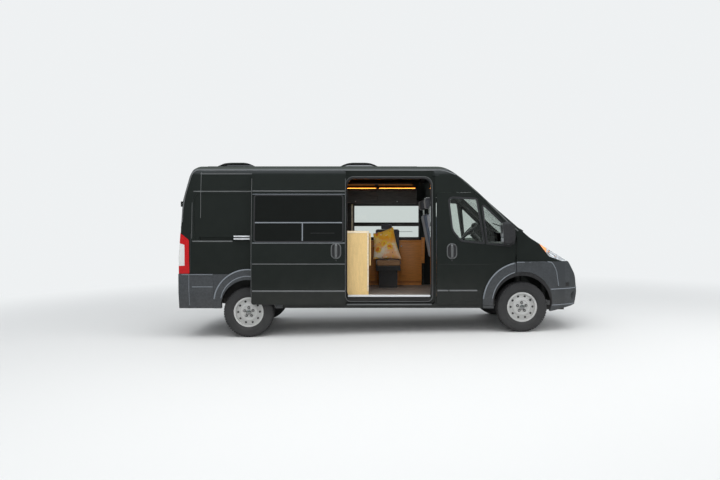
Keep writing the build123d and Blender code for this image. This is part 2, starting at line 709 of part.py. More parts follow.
# Rear doors
rear_hinge_x = TAIL_X - REAR_HINGE_OUT
REAR_DOOR = [
    (0, REAR_DOOR_FOOT_Z, 0),
    (-REAR_DOOR_HALF, REAR_DOOR_FOOT_Z, 30),
    (-REAR_DOOR_HALF, REAR_DOOR_TOP_Z, 60),
    (0, REAR_DOOR_TOP_Z, 0),
]
REAR_WINDOW = [(-110, 1380, 50), (-690, 1380, 50), (-670, 2000, 60), (-110, 2000, 50)]
with BuildPart() as rear_door_right:
    add(skin(0, REAR_DOOR_THICK))
    add(along(REAR_DOOR, BEHIND, REAR_LANE_X), mode=Mode.INTERSECT)
    add(post(rear_hinge_x, -REAR_HINGE_Y, REAR_HINGE_Y - REAR_DOOR_MEETING), mode=Mode.INTERSECT)
    add(along(REAR_WINDOW, BEHIND, REAR_LANE_X), mode=Mode.SUBTRACT)

with BuildPart() as rear_door_glass_right:
    add(pane_wall)
    add(along(REAR_WINDOW, BEHIND, REAR_LANE_X), mode=Mode.INTERSECT)

# Hood
with BuildPart() as hood:
    add(skin(0, HOOD_THICK))
    add(upward(HOOD, HOOD_EDGE_Z), mode=Mode.INTERSECT)
pieces["hood"] = hood

# Pin hinges: the fixed side has two knuckles and the pin, the moving side one eye between them
HINGE_PIN = 4
HINGE_EYE = 8
HINGE_KNUCKLE = 26
HINGE_ARM = 9
EYE_PLAY = 1


def hinge(plane, fixed_to, moving_to):
    """Both halves of a hinge whose pin is the plane's z; each arm runs to a point of that plane."""
    knuckle_starts = (-1.5 * HINGE_KNUCKLE, 0.5 * HINGE_KNUCKLE)
    with BuildPart(mode=Mode.PRIVATE) as fixed:
        for start in knuckle_starts:
            with BuildSketch(plane.offset(start)):
                Circle(HINGE_EYE)
                SlotCenterPoint(fixed_to / 2, fixed_to, HINGE_ARM)
            extrude(amount=HINGE_KNUCKLE)
        with BuildSketch(plane.offset(knuckle_starts[0])):
            Circle(HINGE_PIN)
        extrude(amount=3 * HINGE_KNUCKLE)
    with BuildPart(mode=Mode.PRIVATE) as moving:
        with BuildSketch(plane.offset(EYE_PLAY - HINGE_KNUCKLE / 2)):
            Circle(HINGE_EYE)
            SlotCenterPoint(moving_to / 2, moving_to, HINGE_ARM)
            Circle(HINGE_PIN + TIGHT, mode=Mode.SUBTRACT)
        extrude(amount=HINGE_KNUCKLE - 2 * EYE_PLAY)
    return fixed.part, moving.part


# Front door hinges, at these heights, on a plane seen from above
FRONT_HINGE_HEIGHTS = (1130, 1420)
WING_ARM = Vector(20, 62)
DOOR_ARM = Vector(-24, 62)
for height in FRONT_HINGE_HEIGHTS:
    at_hinge = Plane(origin=(HINGE_X, -DOOR_HINGE_Y, height), z_dir=(0, 0, 1))
    fixed, moving = hinge(at_hinge, WING_ARM, DOOR_ARM)
    with front_end:
        add(fixed)
        add(mirrored(fixed))
    with front_door_right:
        add(moving)

# Rear door hinges, as (height, how far the door's face lies in front of the pin)
REAR_HINGES = [(960, 11), (1560, 31), (1930, 50)]
REAR_POST_ARM = Vector(14, -9)
REAR_DOOR_ARM = Vector(5, 60)
for height, reach in REAR_HINGES:
    at_hinge = Plane(origin=(rear_hinge_x, -REAR_HINGE_Y, height), z_dir=(0, 0, 1))
    fixed, moving = hinge(at_hinge, REAR_POST_ARM + (reach, 0), REAR_DOOR_ARM + (reach, 0))
    with side_panel_right:
        add(fixed)
    with side_panel_left:
        add(mirrored(fixed))
    with rear_door_right:
        add(moving)

# Hood hinges, on a plane seen from the right
HOOD_HINGE_X = HOOD_REAR_X - 3
HOOD_HINGE_Z = 1407
HOOD_HINGE_Y = 220
COWL_ARM = Vector(-26, -30)
HOOD_ARM = Vector(28, -38)
for y in (-HOOD_HINGE_Y, HOOD_HINGE_Y):
    at_hinge = Plane(origin=(HOOD_HINGE_X, y, HOOD_HINGE_Z), x_dir=(1, 0, 0), z_dir=(0, -1, 0))
    fixed, moving = hinge(at_hinge, COWL_ARM, HOOD_ARM)
    with front_end:
        add(fixed)
    with hood:
        add(moving)

# Door mirrors
MIRROR_SIDE = [
    (1718, 1345, 40),
    (1700, 1640, 45),
    (1790, 1675, 60),
    (1872, 1600, 60),
    (1880, 1400, 60),
    (1800, 1345, 30),
]
MIRROR_FRONT = [(-1090, 1340, 50), (-1300, 1340, 60), (-1300, 1680, 70), (-1090, 1680, 40)]
MIRROR_FOOT = [
    (1770, 1335, 30),
    (1915, 1335, 30),
    (1915, 1440, 40),
    (1850, 1560, 60),
    (1770, 1520, 30),
]
MIRROR_FOOT_REACH = 12
mirror_root_y = MIRROR_FRONT[0][0] - MIRROR_FOOT_REACH
with BuildPart() as mirror_right:
    add(across(MIRROR_SIDE))
    add(along(MIRROR_FRONT, 0, NOSE_X), mode=Mode.INTERSECT)
    add(cut(across(MIRROR_FOOT, mirror_root_y, -DOOR_INNER_Y), hull(0)))

# Pieces that the left side repeats
PAIRS = {
    "front_door": front_door_right,
    "front_door_glass": front_door_glass_right,
    "door_trim": door_trim_right,
    "rear_door": rear_door_right,
    "rear_door_glass": rear_door_glass_right,
    "mirror": mirror_right,
}
for pair, right_piece in PAIRS.items():
    pieces[f"{pair}_right"] = right_piece
    with BuildPart() as left_piece:
        add(mirrored(right_piece.part))
    pieces[f"{pair}_left"] = left_piece

# Load floor with its rails, sills and rear wheel houses
RAIL_Y = 410
RAIL_WIDTH = 60
RAIL_LOW_Z = 455
ROCKER_Y = 840
DOOR_LINE_Y = 935
REAR_HOUSE_RADIUS = REAR_ARCH_RADIUS + HOUSE_GAP
slab_low_z = FLOOR_Z - FLOOR_THICK
rear_house_outer = disc(REAR_HUB_X, REAR_ARCH_Z, REAR_HOUSE_RADIUS + HOUSE_THICK)
rear_house_inner = disc(REAR_HUB_X, REAR_ARCH_Z, REAR_HOUSE_RADIUS)
between_rear = block((TAIL_X, -REAR_HOUSE_Y, BELOW), (0, REAR_HOUSE_Y, ABOVE))
rear_core = block((TAIL_X, -REAR_HOUSE_Y - HOUSE_THICK, BELOW), (0, REAR_HOUSE_Y + HOUSE_THICK, ABOVE))
rear_house_blocks = cut(rear_house_outer, between_rear)
rear_house_arches = cut(rear_house_blocks, rear_house_inner)
rear_house_walls = common(rear_house_outer, cut(rear_core, between_rear))
above_rails = block((TAIL_X, -OUT, RAIL_LOW_Z), (0, OUT, ABOVE))
house_rear_x = FRONT_HUB_X - HOUSE_RADIUS - HOUSE_THICK
rocker_rear_x = REAR_HUB_X + REAR_HOUSE_RADIUS + HOUSE_THICK
tread = block((BEHIND, -REAR_POST_HALF, STEP_TOP_Z), (TAIL_X + 2 * WALL, REAR_POST_HALF, FLOOR_Z))
with BuildPart() as floor_right:
    add(block((TAIL_X, -OUT, slab_low_z), (FIREWALL_X, 0, FLOOR_Z)))
    add(block((house_rear_x, -OUT, BELOW), (NOSE_X, -FRONT_HOUSE_Y, ABOVE)), mode=Mode.SUBTRACT)
    add(block((DOOR_REAR_X - SEAM, -OUT, BELOW), (NOSE_X, -DOOR_LINE_Y, ABOVE)), mode=Mode.SUBTRACT)
    add(block((TAIL_X + WALL, -RAIL_Y - RAIL_WIDTH / 2, RAIL_LOW_Z),
              (FIREWALL_X, -RAIL_Y + RAIL_WIDTH / 2, slab_low_z)))
    add(block((rocker_rear_x, -DOOR_LINE_Y, SILL_Z), (house_rear_x, -ROCKER_Y, slab_low_z)))

with BuildPart() as floor:
    add(floor_right.part)
    add(mirrored(floor_right.part))
    add(rear_house_blocks, mode=Mode.SUBTRACT)
    add(common(joined(rear_house_arches, rear_house_walls), above_rails))
    add(hull(WALL, BELOW), mode=Mode.INTERSECT)
    add(common(tread, hull(0)))
pieces["floor"] = floor

# Front subframe: a cradle under the engine, lower arms, and a beam with a threaded towing socket
CRADLE_LOW_Z = 300
CRADLE_TOP_Z = 370
CRADLE_Y = 400
CRADLE_WIDTH = 80
CRADLE_REAR_X = 1900
CRADLE_FRONT_X = 2850
CRADLE_PLATE_X = 2260
CRADLE_POST_XS = (1940, 2110)
CRADLE_POST_RADIUS = 26
BEAM_POST = 60
BEAM_POST_DEPTH = 40
BEAM_THICK = 35
BEAM_HALF = 560
BEAM_HALF_HEIGHT = 35
BEAM_LAP = 5
ARM_HALF = 45
PIN_RADIUS = 14
EYE_OUTER = 32
EYE_HEIGHT = 36
EYE_FREE = 30
kingpin_z = FRONT_HUB_Z - KINGPIN_BELOW_HUB
lean = math.radians(STEER_LEAN)
kingpin_right = Plane(origin=(FRONT_HUB_X, -KINGPIN_Y, kingpin_z), x_dir=(1, 0, 0),
                      z_dir=(0, math.sin(lean), math.cos(lean)))
ARM_PROFILE = [
    (-CRADLE_Y, CRADLE_LOW_Z + 10, 0),
    (-CRADLE_Y, CRADLE_TOP_Z - 20, 0),
    (-KINGPIN_Y, kingpin_z + 14, 0),
    (-KINGPIN_Y, kingpin_z - 16, 0),
]
with BuildPart() as arm_right:
    add(along(ARM_PROFILE, FRONT_HUB_X - ARM_HALF, FRONT_HUB_X + ARM_HALF))
    with BuildSketch(kingpin_right.offset(-EYE_HEIGHT / 2)):
        Circle(EYE_OUTER)
    extrude(amount=EYE_HEIGHT)
    with BuildSketch(kingpin_right.offset(EYE_HEIGHT / 2)):
        Circle(EYE_OUTER + EYE_FREE)
    extrude(amount=EYE_HEIGHT, mode=Mode.SUBTRACT)
    with BuildSketch(kingpin_right.offset(-EYE_HEIGHT)):
        Circle(PIN_RADIUS + TIGHT)
    extrude(amount=2 * EYE_HEIGHT, mode=Mode.SUBTRACT)

with BuildPart() as cradle_right:
    add(block((CRADLE_REAR_X, -CRADLE_Y - CRADLE_WIDTH / 2, CRADLE_LOW_Z),
              (CRADLE_FRONT_X, -CRADLE_Y + CRADLE_WIDTH / 2, CRADLE_TOP_Z)))
    for x in CRADLE_POST_XS:
        add(post(x, -CRADLE_Y, CRADLE_POST_RADIUS, CRADLE_TOP_Z, RAIL_LOW_Z))
    add(block((CRADLE_FRONT_X - BEAM_POST_DEPTH, -CRADLE_Y - BEAM_POST / 2, CRADLE_TOP_Z),
              (CRADLE_FRONT_X, -CRADLE_Y + BEAM_POST / 2, EYE_Z + BEAM_HALF_HEIGHT)))
    add(arm_right.part)

beam_x = CRADLE_FRONT_X - BEAM_LAP
with BuildPart() as front_subframe:
    add(cradle_right.part)
    add(mirrored(cradle_right.part))
    add(block((CRADLE_REAR_X, -CRADLE_Y, CRADLE_LOW_Z), (CRADLE_PLATE_X, CRADLE_Y, CRADLE_TOP_Z)))
    add(block((beam_x, -BEAM_HALF, EYE_Z - BEAM_HALF_HEIGHT),
              (beam_x + BEAM_THICK, BEAM_HALF, EYE_Z + BEAM_HALF_HEIGHT)))
    with BuildSketch(Plane.YZ.offset(CRADLE_FRONT_X)):
        with Locations((EYE_Y, EYE_Z)):
            Circle(EYE_BOSS_RADIUS)
    extrude(amount=EYE_LENGTH)
    with BuildSketch(Plane.YZ.offset(CRADLE_FRONT_X - BEAM_POST_DEPTH / 2)):
        with Locations((EYE_Y, EYE_Z)):
            Circle(EYE_RADIUS)
    extrude(amount=EYE_LENGTH + BEAM_POST_DEPTH, mode=Mode.SUBTRACT)
pieces["front_subframe"] = front_subframe

# Engine with its gearbox as one plain block on the cradle, and the radiator behind the grille
ENGINE_REAR_X = 2200
ENGINE_FRONT_X = 2700
ENGINE_HALF = 420
ENGINE_TOP_Z = 900
RADIATOR_X = 2750
RADIATOR_THICK = 40
RADIATOR_HALF = 480
RADIATOR_TOP_Z = 940
RADIATOR_ROUND = 15
with BuildPart() as engine:
    add(block((ENGINE_REAR_X, -ENGINE_HALF, CRADLE_TOP_Z), (ENGINE_FRONT_X, ENGINE_HALF, ENGINE_TOP_Z)))
pieces["engine"] = engine

with BuildPart() as radiator:
    with BuildSketch(Plane.XY.offset(CRADLE_TOP_Z)):
        with Locations((RADIATOR_X + RADIATOR_THICK / 2, 0)):
            RectangleRounded(RADIATOR_THICK, 2 * RADIATOR_HALF, RADIATOR_ROUND)
    extrude(amount=RADIATOR_TOP_Z - CRADLE_TOP_Z)
pieces["radiator"] = radiator

# Fuel tank, hung under the floor between a rail and the sill, seen from the side as (x, z, radius)
TANK = [(-500, 330, 60), (700, 330, 60), (700, slab_low_z, 0), (-500, slab_low_z, 0)]
TANK_INNER_Y = 455
TANK_OUTER_Y = 830
with BuildPart() as fuel_tank:
    add(across(TANK, TANK_INNER_Y, TANK_OUTER_Y))
pieces["fuel_tank"] = fuel_tank

# Rear axle: a beam under two leaf springs
BEAM_RADIUS = 35
SPRING_WIDTH = 60
SPRING_THICK = 24
SPRING_HALF = 620
SPRING_RISE = 50
SPRING_EYE = 24
SPRING_LAP = 4
BRAKE_BACK_RADIUS = 125
BRAKE_BACK_THICK = 10
BRAKE_BACK_INBOARD = 55
BEAM_INBOARD = 60
SPINDLE_REACH = 50
spring_z = REAR_HUB_Z + BEAM_RADIUS
rear_hub_y = REAR_TRACK / 2
spring_ends = (REAR_HUB_X - SPRING_HALF, REAR_HUB_X + SPRING_HALF)
leaf_low = [(spring_ends[0], spring_z + SPRING_RISE), (REAR_HUB_X, spring_z - SPRING_LAP),
            (spring_ends[1], spring_z + SPRING_RISE)]
leaf_high = [(x, z + SPRING_THICK) for x, z in leaf_low]
with BuildPart() as leaf_spring:
    with BuildSketch(Plane.XZ.offset(RAIL_Y - SPRING_WIDTH / 2)):
        with BuildLine():
            ThreePointArc(*leaf_low)
            Line(leaf_low[2], leaf_high[2])
            ThreePointArc(*leaf_high)
            Line(leaf_high[0], leaf_low[0])
        make_face()
    extrude(amount=SPRING_WIDTH)
    for x in spring_ends:
        add(block((x - SPRING_EYE, -RAIL_Y - SPRING_EYE, spring_z + SPRING_RISE + TIGHT),
                  (x + SPRING_EYE, -RAIL_Y + SPRING_EYE, RAIL_LOW_Z)))

beam_end_y = rear_hub_y - BEAM_INBOARD
spindle_end_y = rear_hub_y + SPINDLE_REACH
brake_back_y = rear_hub_y - BRAKE_BACK_INBOARD
with BuildPart() as rear_axle:
    add(disc(REAR_HUB_X, REAR_HUB_Z, BEAM_RADIUS, -beam_end_y, beam_end_y))
    add(disc(REAR_HUB_X, REAR_HUB_Z, SPINDLE_RADIUS, -spindle_end_y, spindle_end_y))
    for low_y in (-brake_back_y - BRAKE_BACK_THICK, brake_back_y):
        add(disc(REAR_HUB_X, REAR_HUB_Z, BRAKE_BACK_RADIUS, low_y, low_y + BRAKE_BACK_THICK))
    add(leaf_spring.part)
    add(mirrored(leaf_spring.part))
pieces["rear_axle"] = rear_axle

# Knuckles: an upright with its spindle, a pin in the lower arm's eye, and the strut on the pin's line
STRUT_RADIUS = 26
SPRING_RADIUS = 56
STRUT_FROM = 190
COIL_FROM = 480
COIL_TOP = 670
STRUT_TOP = 690
PIN_BELOW = 24
PIN_ABOVE = 50
UPRIGHT_HALF = 32
HUB_BOSS_RADIUS = 62
HUB_BOSS_OUT = 45
front_hub_y = FRONT_TRACK / 2
kingpin_at_hub_y = KINGPIN_Y - KINGPIN_BELOW_HUB * math.tan(lean)
UPRIGHT = [
    (-kingpin_at_hub_y + 35, FRONT_HUB_Z + 160, 15),
    (-kingpin_at_hub_y - 25, FRONT_HUB_Z + 160, 15),
    (-KINGPIN_Y - 22, FRONT_HUB_Z - 20, 15),
    (-KINGPIN_Y - 22, kingpin_z + 30, 8),
    (-KINGPIN_Y + 20, kingpin_z + 26, 8),
    (-kingpin_at_hub_y + 30, FRONT_HUB_Z, 15),
]
# Pin, strut tube and coil, as (start along the pin's line, end, radius)
ON_KINGPIN = [
    (-PIN_BELOW, PIN_ABOVE, PIN_RADIUS),
    (STRUT_FROM, STRUT_TOP, STRUT_RADIUS),
    (COIL_FROM, COIL_TOP, SPRING_RADIUS),
]
with BuildPart() as knuckle_right:
    add(along(UPRIGHT, FRONT_HUB_X - UPRIGHT_HALF, FRONT_HUB_X + UPRIGHT_HALF))
    add(disc(FRONT_HUB_X, FRONT_HUB_Z, SPINDLE_RADIUS, -front_hub_y - SPINDLE_REACH, -KINGPIN_Y))
    add(disc(FRONT_HUB_X, FRONT_HUB_Z, HUB_BOSS_RADIUS, -KINGPIN_Y - HUB_BOSS_OUT, -kingpin_at_hub_y))
    for start, end, radius in ON_KINGPIN:
        with BuildSketch(kingpin_right.offset(start)):
            Circle(radius)
        extrude(amount=end - start)
pieces["knuckle_right"] = knuckle_right
with BuildPart() as knuckle_left:
    add(mirrored(knuckle_right.part))
pieces["knuckle_left"] = knuckle_left

# Wheels: a steel rim with round vents, five wheel bolts and a hub, and a tyre
VENTS = 10
VENT_RADIUS = 15
VENT_SIDES = 8
VENT_CIRCLE = 160
BOLTS = 5
BOLT_RADIUS = 13
BOLT_CIRCLE = 65
BOLT_TOP = 80
BARREL_RADIUS = BEAD_RADIUS - TIGHT
BARREL_THICK = 9
FLANGE_THICK = 8
HALF_RIM = RIM_WIDTH / 2
DISC_THICK = 8
DISC_FOOT = 60
HUB_RADIUS = 58
HUB_INNER = -20
BRAKE_RADIUS = 140
BRAKE_THICK = 22
BRAKE_BORE = SPINDLE_RADIUS + 10
# The disc's outer face, as (radius, outboard offset)
DISC_FACE = [(BARREL_RADIUS - 4, 46), (144, 54), (124, 72), (104, 76), (90, 68), (46, 66), (36, 82), (0, 84)]
# The tyre is made of flats, with a corner of them at its lowest point
TYRE_SIDES = 46
TYRE_TURN = 90
FLAT = math.cos(math.pi / TYRE_SIDES)
# The outer half of the tyre from its middle to its widest line, and the dish beside the rim, as
# (radius, outboard offset)
TYRE_FACE = [(TYRE_RADIUS, 0), (TYRE_RADIUS, 80), (356, 100), (328, 108), (286, TYRE_WIDTH / 2)]
SIDEWALL_DISH = [(282, TYRE_WIDTH / 2), (244, 104), (BEAD_RADIUS + RIM_FLANGE + 3, HALF_RIM)]


def ring(rows):
    """A wheel part turned about the hub, from rows of (radius, outboard offset)."""
    with BuildPart(mode=Mode.PRIVATE) as turned:
        with BuildSketch(Plane.XZ):
            with BuildLine():
                Polyline(*rows, close=True)
            make_face()
        revolve(axis=Axis.Z)
    return turned.part


flange = BEAD_RADIUS + RIM_FLANGE
barrel_in = BARREL_RADIUS - BARREL_THICK
rim_edge = HALF_RIM + TIGHT
rim_outer = HALF_RIM + FLANGE_THICK
RIM_SECTION = [
    (barrel_in, -rim_outer), (flange, -rim_outer), (flange, -rim_edge), (BARREL_RADIUS, -rim_edge),
    (BARREL_RADIUS, rim_edge), (flange, rim_edge), (flange, rim_outer), (barrel_in, rim_outer),
]
HUB_SECTION = [
    (SPINDLE_RADIUS + TIGHT, HUB_INNER), (HUB_RADIUS, HUB_INNER),
    (HUB_RADIUS, DISC_FOOT), (SPINDLE_RADIUS + TIGHT, DISC_FOOT),
]
BRAKE_SECTION = [(BRAKE_BORE, 0), (BRAKE_RADIUS, 0), (BRAKE_RADIUS, BRAKE_THICK), (BRAKE_BORE, BRAKE_THICK)]
disc_back = [(radius, outboard - DISC_THICK) for radius, outboard in reversed(DISC_FACE)]
with BuildPart() as rim:
    add(ring(RIM_SECTION))
    add(ring(DISC_FACE + disc_back))
    add(ring(HUB_SECTION))
    add(ring(BRAKE_SECTION))
    with BuildSketch(Plane.XY.offset(DISC_FOOT / 2)):
        with PolarLocations(VENT_CIRCLE, VENTS):
            RegularPolygon(VENT_RADIUS, VENT_SIDES)
    extrude(amount=DISC_FOOT, mode=Mode.SUBTRACT)
    with BuildSketch(Plane.XY.offset(DISC_FOOT)):
        with PolarLocations(BOLT_CIRCLE, BOLTS, start_angle=90):
            RegularPolygon(BOLT_RADIUS, 6)
    extrude(amount=BOLT_TOP - DISC_FOOT)

with BuildPart() as tyre:
    for (radius, low), (next_radius, high) in zip(TYRE_FACE, TYRE_FACE[1:]):
        slope = math.atan((radius - next_radius) * FLAT / (high - low))
        with BuildSketch(Plane.XY.offset(low)):
            RegularPolygon(radius, TYRE_SIDES, rotation=TYRE_TURN)
        extrude(amount=high - low, taper=math.degrees(slope))
    for (radius, high), (next_radius, low) in zip(SIDEWALL_DISH, SIDEWALL_DISH[1:]):
        slope = math.atan((radius - next_radius) * FLAT / (high - low))
        with BuildSketch(Plane.XY.offset(high)):
            RegularPolygon(radius, TYRE_SIDES, rotation=TYRE_TURN)
        extrude(amount=low - high, taper=math.degrees(slope), mode=Mode.SUBTRACT)
    mirror(about=Plane.XY)
    with BuildSketch(Plane.XY.offset(-TYRE_WIDTH / 2)):
        RegularPolygon((BEAD_RADIUS + TIGHT) / FLAT, TYRE_SIDES, rotation=TYRE_TURN)
    extrude(amount=TYRE_WIDTH, mode=Mode.SUBTRACT)

# Where each wheel turns, as (name, x, z, half track, side)
WHEELS = [
    ("front_right", FRONT_HUB_X, FRONT_HUB_Z, front_hub_y, -1),
    ("front_left", FRONT_HUB_X, FRONT_HUB_Z, front_hub_y, 1),
    ("rear_right", REAR_HUB_X, REAR_HUB_Z, rear_hub_y, -1),
    ("rear_left", REAR_HUB_X, REAR_HUB_Z, rear_hub_y, 1),
]
for name, x, z, half_track, side in WHEELS:
    at_wheel = Plane(origin=(x, side * half_track, z), x_dir=(1, 0, 0), z_dir=(0, side, 0))
    for kind, solid in (("rim", rim), ("tyre", tyre)):
        with BuildPart() as placed:
            add(solid.part.moved(at_wheel.location))
        pieces[f"{kind}_{name}"] = placed

# Dashboard across the cab, with the steering column
DASH = [
    (FIREWALL_X, 760, 0),
    (FIREWALL_X, 1340, 0),
    (1900, 1335, 60),
    (1745, 1245, 45),
    (1730, 1090, 40),
    (1850, 900, 40),
    (1900, 760, 0),
]
DASH_HALF = 880
COLUMN_RADIUS = 46
SHAFT_RADIUS = 13
COLUMN_START = 60
COLUMN_END = 400
SHAFT_START = 12
DASH_INSET = 25
steer_slope = math.radians(STEERING_SLOPE)
steering_plane = Plane(origin=(STEERING_X, STEERING_Y, STEERING_Z), x_dir=(0, -1, 0),
                       z_dir=(-math.sin(steer_slope), 0, math.cos(steer_slope)))
wing_room = block((CLOSING_X, -OUT, BELOW), (NOSE_X, OUT, ABOVE))
# Column tube and steering shaft, as (start below the wheel, radius)
COLUMN = [(COLUMN_START, COLUMN_RADIUS), (SHAFT_START, SHAFT_RADIUS)]
with BuildPart() as dashboard:
    add(across(DASH, -DASH_HALF, DASH_HALF))
    add(hull(WALL + DASH_INSET), mode=Mode.INTERSECT)
    add(cut(joined(wing_room, house_outer), between_houses), mode=Mode.SUBTRACT)
    for start, radius in COLUMN:
        with BuildSketch(steering_plane.offset(-COLUMN_END)):
            Circle(radius)
        extrude(amount=COLUMN_END - start)
pieces["dashboard"] = dashboard

# Steering wheel: a round rim on three spokes and a hub
GRIP_RADIUS = 15
GRIP_SIDES = 8
SPOKE_WIDTH = 34
SPOKE_THICK = 12
WHEEL_HUB_RADIUS = 62
WHEEL_HUB_LOW = -46
WHEEL_HUB_HIGH = 14
WHEEL_BORE_TOP = -10
with BuildPart() as steering_wheel:
    with BuildSketch(Plane.XZ):
        with Locations((STEERING_RADIUS - GRIP_RADIUS, 0)):
            RegularPolygon(GRIP_RADIUS, GRIP_SIDES)
    revolve(axis=Axis.Z)
    with BuildSketch(Plane.XY.offset(WHEEL_HUB_LOW)):
        Circle(WHEEL_HUB_RADIUS)
    extrude(amount=WHEEL_HUB_HIGH - WHEEL_HUB_LOW)
    with BuildSketch(Plane.XY.offset(-SPOKE_THICK / 2)):
        with PolarLocations(STEERING_RADIUS / 2, 3, start_angle=-90):
            Rectangle(STEERING_RADIUS - GRIP_RADIUS, SPOKE_WIDTH)
    extrude(amount=SPOKE_THICK)
    with BuildSketch(Plane.XY.offset(WHEEL_HUB_LOW)):
        Circle(SHAFT_RADIUS + TIGHT)
    extrude(amount=WHEEL_BORE_TOP - WHEEL_HUB_LOW, mode=Mode.SUBTRACT)
with BuildPart() as placed_steering_wheel:
    add(steering_wheel.part.moved(steering_plane.location))
pieces["steering_wheel"] = placed_steering_wheel

# Cab seats, seen from the side as (x, z, radius) and from the front as (y, z, radius)
CAB_SEAT_Y = 450
SEAT_SIDE = [
    (850, 1030, 40),
    (702, 1795, 60),
    (822, 1822, 50),
    (968, 1165, 70),
    (1380, 1195, 70),
    (1392, 1050, 50),
    (1330, 1030, 20),
]
SEAT_FRONT = [(-255, 1000, 60), (255, 1000, 60), (245, 1840, 120), (-245, 1840, 120)]
HEADREST_SIDE = [(672, 1862, 40), (652, 2030, 50), (752, 2045, 45), (785, 1870, 35)]
HEADREST_FRONT = [(-135, 1850, 40), (135, 1850, 40), (120, 2060, 60), (-120, 2060, 60)]
HEADREST_POST_Y = 60
HEADREST_POST_X = 742
HEADREST_POST_RADIUS = 7
HEADREST_POST_LOW_Z = 1790
HEADREST_POST_TOP_Z = 1900
CAB_FLOOR_X = 600
PEDESTAL_TOP_Z = 1030
PEDESTAL = [
    (920, FLOOR_Z, 0),
    (950, PEDESTAL_TOP_Z, 0),
    (1300, PEDESTAL_TOP_Z, 0),
    (1330, FLOOR_Z, 0),
]
PEDESTAL_HALF = 190
with BuildPart() as cab_seat:
    add(common(across(SEAT_SIDE), along(SEAT_FRONT, CAB_FLOOR_X, DOOR_FRONT_X)))
    add(common(across(HEADREST_SIDE), along(HEADREST_FRONT, CAB_FLOOR_X, DOOR_FRONT_X)))
    for y in (-HEADREST_POST_Y, HEADREST_POST_Y):
        add(post(HEADREST_POST_X, y, HEADREST_POST_RADIUS, HEADREST_POST_LOW_Z, HEADREST_POST_TOP_Z))
with BuildPart() as cab_seats:
    for y in (-CAB_SEAT_Y, CAB_SEAT_Y):
        add(cab_seat.part.moved(Location((0, y, 0))))
pieces["cab_seats"] = cab_seats

# Side seat behind the cab: it faces the doorway, with its back to the left wall
BENCH_X0 = -70
BENCH_X1 = 357
BENCH_Y0 = 300
BENCH_Y1 = 760
BENCH_TOP_Z = 1039
BENCH_BASE_Z = 928
BENCH_BACK_Z = 1560
BENCH_FRAME_Z = 850
BENCH_SAG = 20
BENCH_BACK_DEPTH = 110
BENCH_BACK_LEAN = 35
BENCH_SIDE = [
    (BENCH_Y0, BENCH_BASE_Z, 20),
    (BENCH_Y0, BENCH_TOP_Z, 45),
    (BENCH_Y1 - BENCH_BACK_DEPTH, BENCH_TOP_Z - BENCH_SAG, 40),
    (BENCH_Y1 - BENCH_BACK_DEPTH + BENCH_BACK_LEAN, BENCH_BACK_Z, 50),
    (BENCH_Y1 + 28, BENCH_BACK_Z, 50),
    (BENCH_Y1, BENCH_BASE_Z, 30),
]
BENCH_HEADREST_X0 = 30
BENCH_HEADREST_X1 = 225
BENCH_HEADREST = [(700, 1540, 0), (705, 1640, 30), (775, 1640, 30), (780, 1540, 0)]
with BuildPart() as bench_cushion:
    add(along(BENCH_SIDE, BENCH_X0, BENCH_X1))
    add(along(BENCH_HEADREST, BENCH_HEADREST_X0, BENCH_HEADREST_X1))
pieces["bench_cushion"] = bench_cushion

# How far each stage of the side seat's frame draws in from the cushion
RIM_INSET = 10
LEG_INSET = 60
with BuildPart() as seat_frames:
    for y in (-CAB_SEAT_Y, CAB_SEAT_Y):
        add(across(PEDESTAL, y - PEDESTAL_HALF, y + PEDESTAL_HALF))
    add(block((BENCH_X0 + RIM_INSET, BENCH_Y0 + RIM_INSET, BENCH_FRAME_Z),
              (BENCH_X1 - RIM_INSET, BENCH_Y1 - RIM_INSET, BENCH_BASE_Z)))
    add(block((BENCH_X0 + LEG_INSET, BENCH_Y0 + LEG_INSET, FLOOR_Z),
              (BENCH_X1 - LEG_INSET, BENCH_Y1 - LEG_INSET, BENCH_FRAME_Z)))
pieces["seat_frames"] = seat_frames

# Pillow on the side seat, drawn on the seat's back as (x from its middle, height above the seat, radius)
PILLOW_X = 135
PILLOW_THICK = 140
PILLOW_EDGE = 45
PILLOW = [(-240, 1, 50), (245, 1, 50), (105, 565, 50), (-245, 450, 50)]
back_lean = math.atan2(BENCH_BACK_LEAN, BENCH_BACK_Z - BENCH_TOP_Z + BENCH_SAG)
seat_corner = (PILLOW_X, BENCH_Y1 - BENCH_BACK_DEPTH, BENCH_TOP_Z - BENCH_SAG + TIGHT)
seat_back = Plane(origin=seat_corner, x_dir=(1, 0, 0), z_dir=(0, -math.cos(back_lean), math.sin(back_lean)))
with BuildPart() as pillow:
    with BuildSketch(seat_back.offset(TIGHT)):
        add(outline(PILLOW))
    extrude(amount=PILLOW_THICK)
    from_back_to_front = pillow.faces().sort_by(Axis(seat_corner, seat_back.z_dir))
    chamfer(from_back_to_front[0].edges() + from_back_to_front[-1].edges(), length=PILLOW_EDGE)
pieces["pillow"] = pillow

